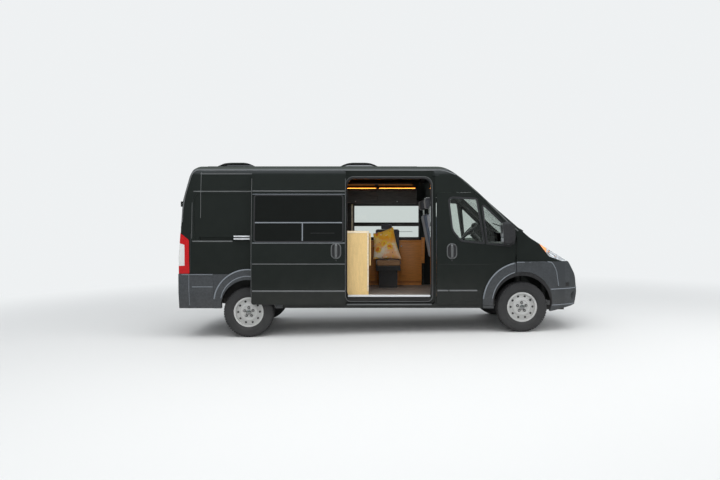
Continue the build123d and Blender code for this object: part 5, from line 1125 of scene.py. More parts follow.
class BumperOperator(bpy.types.Operator):
    """Makes the flares' edges and liners, the bumper's ledge and corner slots, and the rear cladding"""
    bl_idname = "van.bumpers"
    bl_label = "Bumpers and flares"

    # Middles of the arches, as (x, z)
    FRONT_ARCH = (2.055, 0.503)
    FRONT_FLARE = (2.055, 0.493)
    REAR_FLARE = (-1.98, 0.463)
    # Where the flare ends on the bumper, as (angle about the arch, x, z)
    FLARE_FRONT = [(88, 2.077, 1.079), (75, 2.212, 1.079), (65, 2.328, 1.079), (58, 2.421, 1.079),
                   (54, 2.478, 1.072), (50, 2.510, 1.035), (45, 2.542, 0.980), (40, 2.564, 0.920),
                   (33, 2.576, 0.831), (26, 2.586, 0.752), (23, 2.590, 0.722)]

    def round_nose(self, skin, side, z, start, end, count):
        """Hits round the bumper's corner, from the side towards the front."""
        hits = []
        for a in between(math.radians(start), math.radians(end), count):
            out = Vector((math.cos(a), side * math.sin(a), 0))
            hits.append(skin.cast(Vector((2.2, side * 0.5, z)) + out * 2, -out))
        return hits

    def make_flare(self, skin, side):
        """The flare's front half, from the arch's ring out to its edge on the bumper."""
        rings = []
        for angle, x, z in self.FLARE_FRONT:
            a = math.radians(angle)
            inner, inner_normal = skin.side(self.FRONT_FLARE[0] + 0.565 * math.cos(a),
                                            self.FRONT_FLARE[1] + 0.565 * math.sin(a), side)
            outer, normal = skin.side(x, z, side)
            rings.append([inner - inner_normal * 0.004, inner + inner_normal * 0.0006,
                          outer.lerp(inner, 0.10) + normal * 0.0165, outer + normal * 0.0105,
                          outer - normal * 0.004])
        return loft(rings)

    def flare_edge(self, skin, side):
        """Hits along the flare's own edge, which stands off the bumper."""
        hits = [skin.side(x, z, side) for _, x, z in self.FLARE_FRONT[3:]]
        return [(point + normal * 0.013, normal) for point, normal in hits]

    def make_lip(self, side):
        """The liner's lip that shows inside the front arch."""
        rings = []
        for a in between(math.radians(-4), math.radians(184), 40):
            outer = (self.FRONT_ARCH[0] + 0.430 * math.cos(a), self.FRONT_ARCH[1] + 0.430 * math.sin(a))
            inner = (self.FRONT_ARCH[0] + 0.418 * math.cos(a), 0.455 + 0.418 * math.sin(a))
            rings.append([from_side(*outer, side * 1.03), from_side(*inner, side * 1.006),
                          from_side(*inner, side * 0.975), from_side(*outer, side * 0.975)])
        return loft(rings)

    def make_rear_cover(self, skin, side):
        """The bumper cover between the corner and the rear flare."""
        rings = []
        for z in between(0.43, 0.896, 16):
            reach = self.REAR_FLARE[0] - math.sqrt(0.509 ** 2 - (z - self.REAR_FLARE[1]) ** 2)
            back, back_normal = skin.side(-2.484, z, side)
            front, front_normal = skin.side(reach, z, side)
            rings.append([back - back_normal * 0.003, back + back_normal * 0.0096,
                          front + front_normal * 0.0096, front - front_normal * 0.003])
        return loft(rings)

    def trim_front(self, side, label):
        """The front bumper's flare, its edges lighter as a painted highlight, its slot, and the lip of the
        arch's liner.
        """
        bumper = Skin("front_bumper")
        add_piece("bumper_flare_" + label, self.make_flare(bumper, side), "van_body", "grey_plastic")
        parts = [level_line(bumper, side, 1.96, 2.40, 1.074, bead(0.012, 0.006), 14),
                 strip(self.flare_edge(bumper, side), bead(0.012, 0.005)),
                 strip(self.round_nose(bumper, side, 0.674, 62, 12, 24), bead(0.016, 0.008)),
                 strip(self.round_nose(bumper, side, 0.44, 60, 14, 20), bead(0.012, 0.004))]
        add_piece("bumper_edges_" + label, merge(*parts), "van_body", "highlight_plastic")
        low, high = (self.round_nose(bumper, side, z, 37, 31, 5) for z in (0.706, 0.764))
        add_piece("bumper_slot_" + label, plate(low + high[::-1], 0.0025, 0.04), "van_body", "black_plastic")
        add_piece("arch_lip_" + label, self.make_lip(side), "van_body", "black_plastic")

    def make_flare_edges(self, name, skin, side, body, outer, inner):
        """Two raised lines round an arch, each given as its arc, lighter than the plastic as a painted
        highlight.
        """
        edge = on_side(skin, side, outer, bead(0.020, 0.008))
        line = on_side(skin, side, inner, bead(0.012, 0.003))
        add_piece(name, merge(edge, line), body, "highlight_plastic")

    def trim_rear(self, side, label):
        """The rear bumper's cover and the lines of its corner, the lines lighter than the plastic as a
        painted highlight.
        """
        cover = self.make_rear_cover(Skin("side_panel_" + label), side)
        add_piece("rear_cover_" + label, cover, "van_body", "grey_plastic")
        corner = Skin("rear_bumper")
        parts = [level_line(corner, side, -2.95, -2.50, 0.890, bead(0.010, 0.007), 14),
                 level_line(corner, side, -2.80, -2.50, 0.711, bead(0.010, 0.003), 10),
                 upright_line(corner, side, -2.845, 0.44, 0.885, bead(0.006, 0.002), 10)]
        add_piece("rear_corner_lines_" + label, merge(*parts), "van_body", "highlight_plastic")

    def execute(self, context):
        for side, label in SIDES:
            self.trim_front(side, label)
            trim, cladding = Skin("door_trim_" + label), Skin("side_cladding")
            self.make_flare_edges("door_flare_edge_" + label, trim, side, "front_door_" + label,
                                  arc(self.FRONT_FLARE, 0.580, 103, 176, 26),
                                  arc(self.FRONT_FLARE, 0.448, 106, 174, 24))
            self.make_flare_edges("rear_flare_edge_" + label, cladding, side, "van_body",
                                  arc(self.REAR_FLARE, 0.501, 10, 172, 44),
                                  arc(self.REAR_FLARE, 0.405, 12, 168, 40))
            self.trim_rear(side, label)
        return {"FINISHED"}


class LampOperator(bpy.types.Operator):
    """Makes what shows inside the headlamps and fog lamps, and the seams round the tail lamps"""
    bl_idname = "van.lamps"
    bl_label = "Lamps"

    # The headlamp's bowls, as (x, z, radius)
    BOWLS = ((2.475, 1.212, 0.031), (2.59, 1.138, 0.029))
    # Turned sections, as (radius, distance outwards)
    BULB = [(0.0, -0.01), (0.007, -0.01), (0.007, 0.012), (0.004, 0.018), (0.0, 0.019)]
    FOG_BOWL = [(0.0, 0.0), (0.035, 0.004), (0.05, 0.03), (0.056, 0.03), (0.056, -0.006), (0.0, -0.006)]
    FOG_LENS = [(0.0, 0.038), (0.03, 0.036), (0.048, 0.031), (0.048, 0.028), (0.0, 0.03)]

    def lens_copy(self, side, shrink):
        """One headlamp's solid, drawn in by a little all round."""
        bm = bmesh.new()
        bm.from_mesh(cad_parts["headlamps"].data)
        bm.transform(TIP.inverted())
        bmesh.ops.remove_doubles(bm, verts=bm.verts, dist=1e-5)
        bmesh.ops.delete(bm, geom=[v for v in bm.verts if v.co.y * side < 0], context="VERTS")
        bmesh.ops.recalc_face_normals(bm, faces=bm.faces)
        bm.normal_update()
        for vert, normal in [(v, v.normal.copy()) for v in bm.verts]:
            vert.co -= normal * shrink
        return bm

    def make_tray(self, side):
        """The dark housing behind the lens: the solid's faces but for those that face out."""
        bm = self.lens_copy(side, 0.004)
        bm.normal_update()
        out = Vector((0.62, 0.55 * side, 0.56)).normalized()
        outer = [f for f in bm.faces if f.normal.dot(out) > 0.35]
        bmesh.ops.delete(bm, geom=outer, context="FACES")
        bmesh.ops.solidify(bm, geom=bm.faces[:], thickness=0.0015)
        return bm

    def make_amber(self, side):
        """The indicator at the lamp's rear end."""
        bm = self.lens_copy(side, 0.005)
        cut = bmesh.ops.bisect_plane(bm, geom=bm.verts[:] + bm.edges[:] + bm.faces[:], plane_co=(2.405, 0, 0),
                                     plane_no=(1, 0, 0), clear_outer=True)
        bmesh.ops.holes_fill(bm, edges=[e for e in cut["geom_cut"] if isinstance(e, bmesh.types.BMEdge)])
        return bm

    def make_bowl(self, skin, x, z, side, radius):
        """A reflector, its bulb and its bezel, set back from the lens."""
        point, normal = skin.side(x, z, side)
        out = Vector((0.86, 0.42 * side, 0.12)).normalized()
        centre = point - normal * (radius + 0.026)
        rows = [(0.0, -0.012), (radius * 0.5, -0.009), (radius * 0.85, 0.004), (radius, 0.016),
                (radius + 0.004, 0.017), (radius + 0.004, 0.013), (radius * 0.88, -0.002),
                (radius * 0.5, -0.014), (0.0, -0.017)]
        return merge(turned(rows, centre, out, 32), turned(self.BULB, centre, out, 16))

    def execute(self, context):
        skin = Skin("headlamps")
        ahead = Vector((1, 0, 0))
        for side, label in SIDES:
            add_piece("lamp_tray_" + label, self.make_tray(side), "van_body", "lamp_silver")
            add_piece("lamp_indicator_" + label, self.make_amber(side), "van_body", "amber_glow")
            bowls = [self.make_bowl(skin, x, z, side, radius) for x, z, radius in self.BOWLS]
            add_piece("lamp_bowls_" + label, merge(*bowls), "van_body", "bright_metal")
            spot = Vector((2.615, side * 0.77, 0.56))
            add_piece("fog_bowl_" + label, turned(self.FOG_BOWL, spot, ahead, 36), "van_body", "bright_metal")
            add_piece("fog_lens_" + label, turned(self.FOG_LENS, spot, ahead, 36), "van_body", "clear_lens")
            panel = Skin("side_panel_" + label)
            seam = upright_line(panel, side, -2.827, 0.915, 1.492, bead(0.007, 0.002), 16)
            add_piece("tail_seam_" + label, seam, "van_body", "black_plastic")
        return {"FINISHED"}


class FrontOperator(bpy.types.Operator):
    """Makes the wipers, the screen behind the grille and the glass of the mirrors"""
    bl_idname = "van.front"
    bl_label = "Wipers and mirrors"

    # Each wiper's pivot and the end of its arm, as (y, z)
    WIPERS = (((-0.50, 1.515), (-0.14, 1.60)), ((0.22, 1.515), (0.58, 1.60)))
    BLADE = [(-0.002, 0.001), (-0.004, 0.012), (-0.006, 0.016), (0.006, 0.016), (0.004, 0.012),
             (0.002, 0.001)]
    # The mirror's two panes, as (lower edge, upper edge)
    PANES = ((1.372, 1.432), (1.446, 1.632))

    def make_wiper(self, skin, start, end):
        """An arm from its pivot to the middle of a blade that lies on the windscreen."""
        point, normal = skin.front(*start)
        tip, tip_normal = skin.front(*end)
        arm = tube([point + normal * 0.010, point + normal * 0.018, point.lerp(tip, 0.2) + normal * 0.022,
                    tip + tip_normal * 0.018], [0.010, 0.009, 0.006, 0.005], 10)
        hits = [skin.front(start[0] + (end[0] - start[0]) * t, start[1] + (end[1] - start[1]) * t)
                for t in between(0.42, 1.5, 12)]
        return merge(arm, strip(hits, self.BLADE))

    def execute(self, context):
        screen = Skin("windscreen", "front_end")
        wipers = [self.make_wiper(screen, start, end) for start, end in self.WIPERS]
        add_piece("wipers", merge(*wipers), "van_body", "black_plastic")
        low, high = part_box("grille")
        behind = board((low.x - 0.016, low.y - 0.09, low.z + 0.02),
                       (low.x - 0.010, high.y + 0.09, high.z + 0.06))
        add_piece("grille_screen", behind, "van_body", "black_plastic")
        for side, label in SIDES:
            mirror = Skin("mirror_" + label)
            panes = []
            for low, high in self.PANES:
                outline = oblong(side * 1.19, (low + high) / 2, 0.165, high - low, 0.02, 5)
                panes.append(plate([mirror.rear(p.x, p.y) for p in dense(outline, 0.03)], 0.0012, 0.03))
            # The panes' pale grey is partly a painted reflection of the sky
            add_piece("mirror_glass_" + label, merge(*panes), "front_door_" + label, "mirror")
        return {"FINISHED"}


class RoofOperator(bpy.types.Operator):
    """Makes the roof's ribs, the bright edges along it, which are a painted highlight, and the frames under
    the fans' covers
    """
    bl_idname = "van.roof"
    bl_label = "Roof"

    # The bright edge up the rear corner, a painted highlight, as (x, z)
    CORNER = [(-2.952, 1.66), (-2.949, 1.76), (-2.943, 1.86), (-2.932, 1.95), (-2.915, 2.04), (-2.894, 2.13),
              (-2.872, 2.21), (-2.852, 2.29), (-2.834, 2.35), (-2.808, 2.40), (-2.775, 2.425)]
    # The line down the windscreen pillar, a painted highlight, as (x, z)
    PILLAR = [(0.95, 2.414), (1.06, 2.375), (1.16, 2.315), (1.27, 2.235), (1.42, 2.09), (1.57, 1.938),
              (1.71, 1.797), (1.848, 1.655), (1.99, 1.53)]
    # The ribs, as (places across, rear end, front end, points along each)
    RIBS = (((-0.62, -0.42, 0.42, 0.62), -2.70, 0.55, 40), ((-0.2, 0.2), -1.90, -0.75, 16))
    # Middles of the fans, as x
    FANS = (-0.35, -2.30)

    def on_roof(self, skin, points, section, closed=False):
        return strip([skin.top(x, y) for x, y in points], section, closed)

    def execute(self, context):
        roof = Skin("roof")
        ribs = [self.on_roof(roof, [(x, y) for x in between(rear, front, count)], bead(0.055, 0.004))
                for places, rear, front, count in self.RIBS for y in places]
        add_piece("roof_ribs", merge(*ribs), "van_body", "black_paint")
        for side, label in SIDES:
            shell = Skin("roof", "side_panel_" + label, "windscreen", "front_end")
            line = self.CORNER + [(x, 2.432) for x in between(-2.74, 0.86, 60)] + self.PILLAR
            edges = [on_side(shell, side, line, bead(0.018, 0.006)),
                     level_line(shell, side, -2.70, -1.93, 2.375, bead(0.011, 0.004), 14)]
            add_piece("roof_edges_" + label, merge(*edges), "van_body", "highlight_paint")
        frames = [self.on_roof(roof, dense(oblong(x, 0, 0.64, 0.47, 0.06, 6), 0.05), bead(0.04, 0.012), True)
                  for x in self.FANS]
        add_piece("fan_frames", merge(*frames), "van_body", "black_plastic")
        return {"FINISHED"}


class CabinetOperator(bpy.types.Operator):
    """Makes the edges, screws, flaps, light strips and lining of the fitted interior"""
    bl_idname = "van.cabinets"
    bl_label = "Cabinets"

    # Doors of the wall cabinet and flaps of the lockers, as (rear end, front end)
    DOORS = [(-0.44, -0.06), (-0.045, 0.335), (0.35, 0.735)]
    FLAPS = [(-1.492, -0.797), (-0.783, -0.042), (-0.028, 0.632)]
    # Ceiling boards, as (rear end, front end)
    CEILING = [(-2.70, -1.53), (-1.52, -0.40), (-0.39, 0.70)]
    # The lining round the far window, as pairs of corners (x, z)
    LINING = [((-0.60, 1.353), (-0.432, 2.055)), ((0.70, 1.353), (0.746, 2.055)),
              ((-0.432, 1.353), (0.70, 1.405)), ((-0.432, 1.955), (0.70, 2.055)),
              ((-0.432, 1.597), (0.70, 1.644))]
    # Turned sections, as (radius, distance outwards)
    SCREW = [(0.0, -0.001), (0.005, -0.001), (0.0045, 0.0014), (0.0, 0.002)]
    KNOB = [(0.0, 0.0), (0.006, 0.0), (0.006, 0.010), (0.012, 0.014), (0.012, 0.019), (0.0, 0.021)]
    CATCH = [(0.0, 0.0), (0.009, 0.0), (0.009, 0.004), (0.007, 0.006), (0.0, 0.0065)]
    VENT = [(0.0, -0.004), (0.046, -0.004), (0.046, 0.006), (0.040, 0.008), (0.036, 0.002), (0.0, 0.002)]
    # The instrument hood's middle and half width, as y
    HOOD_MIDDLE, HOOD_HALF = 0.45, 0.205

    def make_kitchen(self):
        """The worktop's edge, the front corner's edging, its screws and the leaf's hinge."""
        edges = [board((-1.498, -0.9045, 1.498), (-0.205, -0.898, 1.5275), 0.0015),
                 board((-0.228, -0.9035, 0.635), (-0.2065, -0.898, 1.4965), 0.001),
                 board((-0.210, -0.895, 1.4985), (-0.2035, -0.365, 1.5275), 0.0015)]
        add_piece("kitchen_edges", merge(*edges), "van_body", "pale_edge")
        screws = bmesh.new()
        for z in (0.70, 0.95, 1.20, 1.45):
            turned(self.SCREW, (-0.217, -0.9035, z), (0, -1, 0), 16, screws)
        hinge = tube([(-0.186, -0.78, 1.496), (-0.186, -0.42, 1.496)], 0.0045, 10)
        add_piece("kitchen_screws", merge(screws, hinge), "van_body", "bright_metal")

    def make_wall_cabinet(self):
        """The cabinet's top band, doors and plinth, and the lining of the window above it."""
        bands = [board((-0.448, 0.790, 1.316), (0.746, 0.801, 1.351))]
        bands += [slab(edged(rear, front, 0.64, 1.302, 0.004, 2), 0.791, 0.801, from_side, 0.002)
                  for rear, front in self.DOORS]
        bands.append(board((0.7485, 0.80, 0.95), (0.80, 0.90, 1.40)))
        add_piece("wall_cabinet_doors", merge(*bands), "van_body", "warm_wood")
        lining = [board((rear, 0.905, low), (front, 0.925, high))
                  for (rear, low), (front, high) in self.LINING]
        add_piece("window_lining", merge(*lining), "van_body", "charcoal_board")
        post = board((-0.49, 0.88, 1.353), (-0.457, 0.905, 1.984), 0.003)
        add_piece("lining_post", post, "van_body", "pale_edge")

    def make_lockers(self):
        """A flap on each locker, a warm strip along its top, and the knobs and catches of all doors."""
        knobs = bmesh.new()
        for x in (-0.10, 0.295, 0.39):
            turned(self.KNOB, (x, 0.7915, 1.25), (0, -1, 0), 20, knobs)
        flaps, strips = [], []
        for rear, front in self.FLAPS:
            flaps.append(slab(edged(rear, front, 1.992, 2.236, 0.006, 3), 0.552, 0.5615, from_side, 0.0018))
            strips.append(board((rear + 0.02, 0.564, 2.2455), (front - 0.02, 0.576, 2.2505), 0.001))
            turned(self.CATCH, ((rear + front) / 2, 0.5525, 2.02), (0, -1, 0), 20, knobs)
        add_piece("locker_flaps", merge(*flaps), "van_body", "charcoal_board")
        add_piece("locker_lights", merge(*strips), "van_body", "strip_light")
        add_piece("cabinet_knobs", knobs, "van_body", "bright_metal")

    def make_ceiling(self):
        """Three crowned boards between battens."""
        boards = []
        for ends in self.CEILING:
            rings = []
            for x in ends:
                lower = [Vector((x, y, 2.452 - 0.045 * (y / 0.8) ** 2)) for y in between(-0.79, 0.79, 13)]
                rings.append(lower + [p + Vector((0, 0, 0.007)) for p in reversed(lower)])
            boards.append(loft(rings))
        add_piece("ceiling_boards", merge(*boards), "van_body", "lining")

    def make_dashboard(self):
        """The instrument hood, the vents, the screen and the line of the glovebox."""
        dash = Skin("dashboard")
        hood = []
        for y in between(0.25, 0.65, 9):
            lift = 0.05 * math.sqrt(max(0.0, 1 - ((y - self.HOOD_MIDDLE) / self.HOOD_HALF) ** 2))
            rear, base, front = (dash.top(x, y)[0].z for x in (1.74, 1.80, 1.93))
            hood.append([Vector((1.735, y, rear - 0.01)), Vector((1.745, y, rear + lift + 0.004)),
                         Vector((1.80, y, base + lift * 0.9 + 0.004)), Vector((1.93, y, front - 0.004)),
                         Vector((1.93, y, front - 0.012)), Vector((1.80, y, base - 0.01))])
        vents = bmesh.new()
        for y in (-0.74, -0.13, 0.13, 0.74):
            turned(self.VENT, *self.seen(dash, y, 1.26), 32, vents)
        screen = [self.seen(dash, *p) for p in dense(oblong(0, 1.12, 0.24, 0.13, 0.012, 4), 0.04)]
        glovebox = [self.seen(dash, *p) for p in dense(oblong(-0.47, 1.08, 0.38, 0.2, 0.02, 4), 0.04)]
        parts = [loft(hood), vents, plate(screen, 0.006, 0.02), strip(glovebox, bead(0.006, 0.002), True)]
        add_piece("dashboard_trim", merge(*parts), "van_body", "black_plastic")

    def seen(self, dash, y, z):
        """The point of the dashboard that the driver sees at y, z, with its normal."""
        return dash.cast((1.2, y, z), (1, 0, 0))

    def execute(self, context):
        self.make_kitchen()
        self.make_wall_cabinet()
        self.make_lockers()
        self.make_ceiling()
        self.make_dashboard()
        return {"FINISHED"}


class SoftGoodsOperator(bpy.types.Operator):
    """Makes the cab seats, the bench's pads, the mattress and the pillow"""
    bl_idname = "van.soft_goods"
    bl_label = "Soft goods"

    # How the cloth fills out, for how many frames, and the size of its mesh
    CLOTH = {"quality": 4, "mass": 0.3, "use_pressure": True, "uniform_pressure_force": 4.0}
    FRAMES, VOXEL = 20, 0.006

    def padding(self, corners, place, centre, half, edge, relief=None, width=None, slices=34, step=0.02):
        """A padded form: an outline carried across, rounded towards its ends, its channels pressed in."""
        profile = dense(rounded(corners, 8), step)
        area = sum(profile[i - 1].cross(p) for i, p in enumerate(profile))
        rings = []
        for k in range(slices + 1):
            t = math.sin(math.pi / 2 * (2 * k / slices - 1))
            over = max(0.0, (abs(t) * half - half + edge) / edge)
            drawn = edge * (1 - math.sqrt(max(0.0, 1 - over * over)))
            ring = []
            for i, point in enumerate(profile):
                ahead = profile[(i + 1) % len(profile)] - profile[i - 1]
                out = Vector((ahead.y, -ahead.x)).normalized() * (1 if area > 0 else -1)
                depth = drawn + (relief(point, out, t) if relief else 0.0)
                spot = point - out * depth
                reach = half * (width(point) if width else 1.0)
                ring.append(place(spot.x, spot.y, centre + t * reach))
            rings.append(ring)
        return loft(rings)

    def groove(self, value, at, depth, wide):
        return depth * math.exp(-((value - at) / wide) ** 2)

    def add_soft(self, name, bm, finish, fill, node):
        """A padded piece, its cloth smooth all round, in place of a frame node."""
        piece = add_piece(name, bm, "van_body", finish, 180)
        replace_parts(piece, node)

    def inflate(self, bm, limit, held):
        """Lets a closed cloth form fill out under pressure, no point going further than the limit."""
        scene = bpy.context.scene
        bmesh.ops.recalc_face_normals(bm, faces=bm.faces)
        soft = bpy.data.objects.new("soft", bpy.data.meshes.new("soft"))
        bm.to_mesh(soft.data)
        bm.free()
        scene.collection.objects.link(soft)
        remesh = soft.modifiers.new("remesh", "REMESH")
        remesh.mode = "VOXEL"
        remesh.voxel_size = self.VOXEL
        soft.data = self.settled(soft)
        rest = [v.co.copy() for v in soft.data.vertices]
        group = soft.vertex_groups.new(name="held")
        group.add([i for i, co in enumerate(rest) if held(co)], 1.0, "REPLACE")
        cloth = soft.modifiers.new("cloth", "CLOTH")
        for name, value in self.CLOTH.items():
            setattr(cloth.settings, name, value)
        cloth.settings.vertex_group_mass = "held"
        cloth.settings.effector_weights.gravity = 0.0
        cloth.point_cache.frame_end = self.FRAMES
        for frame_number in range(1, self.FRAMES + 1):
            scene.frame_set(frame_number)
        soft.data = self.settled(soft)
        for vert, co in zip(soft.data.vertices, rest):
            moved = vert.co - co
            if moved.length > limit:
                vert.co = co + moved * limit / moved.length
        finer = soft.modifiers.new("finer", "SUBSURF")
        finer.levels = finer.render_levels = 1
        soft.data = self.settled(soft)
        scene.frame_set(1)
        bm = bmesh.new()
        bm.from_mesh(soft.data)
        bpy.data.objects.remove(soft)
        return bm

    def settled(self, piece):
        """The piece's mesh with its modifiers worked into it, and the modifiers gone."""
        mesh = bpy.data.meshes.new_from_object(piece.evaluated_get(bpy.context.evaluated_depsgraph_get()))
        piece.modifiers.clear()
        return mesh

    def make_cab_seats(self):
        """Two seats of a padded base, a bolstered back and a headrest on two posts."""
        base = [(0.905, 1.034, 0.03), (0.93, 1.192, 0.05), (1.372, 1.186, 0.065), (1.378, 1.062, 0.045),
                (1.33, 1.034, 0.02)]
        back = [(0.858, 1.06, 0.04), (0.714, 1.785, 0.05), (0.815, 1.81, 0.045), (0.95, 1.21, 0.06),
                (0.955, 1.075, 0.04)]
        head = [(0.677, 1.868, 0.035), (0.660, 2.022, 0.045), (0.748, 2.036, 0.04), (0.778, 1.876, 0.03)]

        def pressed(t, facing):
            if facing <= 0.2:
                return 0.0
            panel = 0.016 * (1 - 1 / (1 + math.exp(-(abs(t) - 0.62) * 40)))
            return facing * (panel + self.groove(abs(t), 0.62, 0.008, 0.03))

        def base_relief(point, out, t):
            return pressed(t, out.y) + max(0.0, out.y) * self.groove(point.x, 1.19, 0.006, 0.008)

        def back_relief(point, out, t):
            rows = sum(self.groove(point.y, z, 0.006, 0.008) for z in (1.36, 1.54, 1.70))
            return pressed(t, out.x) + max(0.0, out.x) * rows * (1 if abs(t) < 0.6 else 0.2)

        def shoulders(point):
            over = max(0.0, point.y - 1.70)
            return (0.125 + math.sqrt(max(0.0, 0.12 ** 2 - min(over, 0.118) ** 2))) / 0.245

        # Each form, as (name, outline, half width, edge, relief, width, finish, fill)
        forms = [("cab_seat_base_", base, 0.248, 0.04, base_relief, None, "seat_fabric", 0.8),
                 ("cab_seat_back_", back, 0.243, 0.045, back_relief, shoulders, "seat_fabric", 0.8),
                 ("cab_headrest_", head, 0.122, 0.035, None, None, "bench_fabric", 0.9)]
        posts = []
        for side, label in SIDES:
            middle = side * 0.45
            for name, outline, half, edge, relief, width, finish, fill in forms:
                bm = self.padding(outline, from_side, middle, half, edge, relief, width)
                self.add_soft(name + label, bm, finish, fill, "cab_seats")
            posts += [tube([(0.746, y, 1.79), (0.74, y, 1.90)], 0.007, 12)
                      for y in (middle - 0.06, middle + 0.06)]
        add_piece("cab_headrest_posts", merge(*posts), "van_body", "bright_metal")

    def make_bench(self):
        """The side seat: a tan cushion, its dark back and its headrest."""
        base = [(0.308, 0.932, 0.02), (0.306, 1.024, 0.04), (0.646, 1.010, 0.035), (0.665, 0.932, 0.02)]
        back = [(0.664, 0.945, 0.03), (0.692, 1.548, 0.045), (0.782, 1.550, 0.045), (0.760, 0.945, 0.03)]
        head = [(0.704, 1.545, 0.01), (0.708, 1.634, 0.03), (0.772, 1.634, 0.03), (0.776, 1.545, 0.01)]

        def along(a, b, c):
            return Vector((c, a, b))

        def base_relief(point, out, t):
            return max(0.0, out.y) * (self.groove(abs(t), 0.0, 0.007, 0.03) - 0.006 * (1 - t * t))

        def back_relief(point, out, t):
            rows = sum(self.groove(point.y, z, 0.007, 0.009) for z in (1.18, 1.36))
            return max(0.0, -out.x) * (rows - 0.006 * (1 - t * t))

        # Each form, as (name, outline, edge, relief, middle, half width, finish)
        forms = [("bench_seat", base, 0.04, base_relief, 0.144, 0.208, "bench_top"),
                 ("bench_back", back, 0.035, back_relief, 0.144, 0.208, "bench_fabric"),
                 ("bench_headrest", head, 0.025, None, 0.1275, 0.094, "bench_fabric")]
        for name, corners, edge, relief, middle, half, finish in forms:
            bm = self.padding(corners, along, middle, half, edge, relief)
            if name != "bench_headrest":
                floor = min(v.co.z for v in bm.verts) + 0.012
                bm = self.inflate(bm, 0.006, lambda co: co.z < floor)
            self.add_soft(name, bm, finish, 0.7, "bench_cushion")
        seam = ((0.318, 0.955), (0.316, 1.005), (0.335, 1.022), (0.62, 1.008))
        lines = [tube([(x, y, z) for y, z in seam], 0.0035, 8) for x in (-0.058, 0.346)]
        add_piece("bench_piping", merge(*lines), "van_body", "bench_fabric")

    def make_mattress(self):
        """A quilted mattress with a piped edge, flat where it lies."""
        outline = [(-2.858, 1.063, 0.02), (-1.542, 1.063, 0.02), (-1.545, 1.176, 0.045),
                   (-2.855, 1.176, 0.045)]
        half, quilt = 0.915, 0.26

        def relief(point, out, t):
            if out.y < 0.3:
                return 0.0
            sewn = sum(self.groove(math.remainder(value, quilt), 0.0, 0.008, 0.018)
                       for value in (point.x, t * half))
            return out.y * (sewn - 0.010)

        bm = self.padding(outline, from_side, 0.0, half, 0.05, relief, slices=150, step=0.013)
        self.add_soft("mattress_pad", bm, "mattress_fabric", 0.8, "mattress")
        # Piping round the upper and the lower edge, as (length, width, height)
        piping = []
        for length, width, z in ((1.296, 1.806, 1.168), (1.31, 1.82, 1.078)):
            edge = dense(oblong(-2.2, 0, length, width, 0.05, 6), 0.06)
            piping.append(tube([(p.x, p.y, z) for p in edge], 0.004, 8, True))
        add_piece("mattress_piping", merge(*piping), "van_body", "mattress_fabric")

    def make_pillow(self):
        """A printed scatter cushion leaning on the bench's back, its corners drawn out and its sides in."""
        origin, right = Vector((0.135, 0.65, 1.021)), Vector((1, 0, 0))
        up, out = Vector((0, 0.0646, 0.9979)), Vector((0, -0.9979, 0.0646))
        corners = [Vector(p) for p in ((-0.236, 0.006), (0.240, 0.006), (0.100, 0.556), (-0.240, 0.444))]

        def spot(u, v, depth):
            a = u * (1 - 0.07 * (1 - v * v))
            b = v * (1 - 0.06 * (1 - u * u))
            s, t = (a + 1) / 2, (b + 1) / 2
            flat = (corners[0].lerp(corners[1], s)).lerp(corners[3].lerp(corners[2], s), t)
            return origin + right * flat.x + up * flat.y + out * (0.070 + depth)

        def bulge(u, v):
            return 0.005 + 0.048 * ((1 - u ** 4) * (1 - v ** 4)) ** 0.6

        count = 44
        values = between(-1.0, 1.0, count)
        bm = bmesh.new()
        sheets = [[[bm.verts.new(spot(u, v, face * bulge(u, v))) for v in values] for u in values]
                  for face in (-1, 1)]
        for grid, turn in zip(sheets, (1, -1)):
            for i in range(count - 1):
                for j in range(count - 1):
                    quad = [grid[i][j], grid[i + 1][j], grid[i + 1][j + 1], grid[i][j + 1]]
                    bm.faces.new(quad[::turn])
        low, high = sheets
        border = [(i, 0) for i in range(count)] + [(count - 1, j) for j in range(1, count)]
        border += [(i, count - 1) for i in range(count - 2, -1, -1)]
        border += [(0, j) for j in range(count - 2, 0, -1)]
        for k, (i, j) in enumerate(border):
            m, n = border[k - 1]
            bm.faces.new((low[m][n], low[i][j], high[i][j], high[m][n]))
        rim = [spot(values[i], values[j], 0.0) for i, j in border]
        near = loft([[p + out * depth for p in rim] for depth in (-0.006, 0.006)], caps=False)
        tree = BVHTree.FromBMesh(near)
        near.free()
        bm = self.inflate(bm, 0.014, lambda co: tree.find_nearest(co)[3] < 0.007)
        self.add_soft("scatter_pillow", bm, "pillow_fabric", 0.7, "pillow")
        add_piece("pillow_piping", tube(rim, 0.0035, 8, True), "van_body", "pillow_fabric")

    def execute(self, context):
        self.make_cab_seats()
        self.make_bench()
        self.make_mattress()
        self.make_pillow()
        return {"FINISHED"}


class VAN_PT_panel(bpy.types.Panel):
    """Lists the van's pieces"""
    bl_label = "Camper Van"
    bl_idname = "VAN_PT_panel"
    bl_space_type = "VIEW_3D"
    bl_region_type = "UI"
    bl_category = "Camper Van"

    def draw(self, context):
        scene = context.scene
        for group in (scene.van_colours, scene.van_sizes, scene.van_stage):
            box = self.layout.box()
            for name in group.__annotations__:
                box.prop(group, name)
        for operator in OPERATORS:
            self.layout.operator(operator.bl_idname)


GROUPS = {"van_colours": VanColours, "van_sizes": VanSizes, "van_stage": VanStage}
OPERATORS = (StageOperator, FinishOperator, TyreOperator, BodyTrimOperator, HandleOperator, GlazingOperator,
             BumperOperator, LampOperator, FrontOperator, RoofOperator, CabinetOperator, SoftGoodsOperator)


def register():
    for kind in (*GROUPS.values(), *OPERATORS, VAN_PT_panel):
        bpy.utils.register_class(kind)
    for name, kind in GROUPS.items():
        setattr(bpy.types.Scene, name, PointerProperty(type=kind))


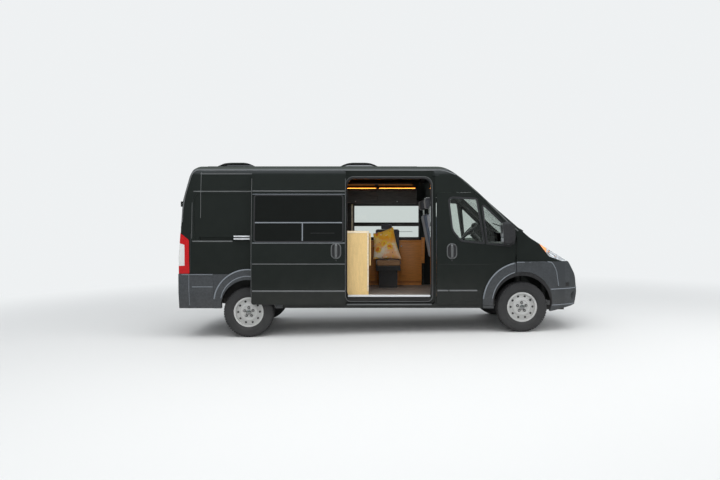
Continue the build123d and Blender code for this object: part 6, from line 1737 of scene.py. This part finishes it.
def unregister():
    for name in GROUPS:
        delattr(bpy.types.Scene, name)
    for kind in reversed((*GROUPS.values(), *OPERATORS, VAN_PT_panel)):
        bpy.utils.unregister_class(kind)


def main():
    register()
    for operator in OPERATORS:
        group, name = operator.bl_idname.split(".")
        getattr(getattr(bpy.ops, group), name)()


if __name__ == "__main__":
    main()
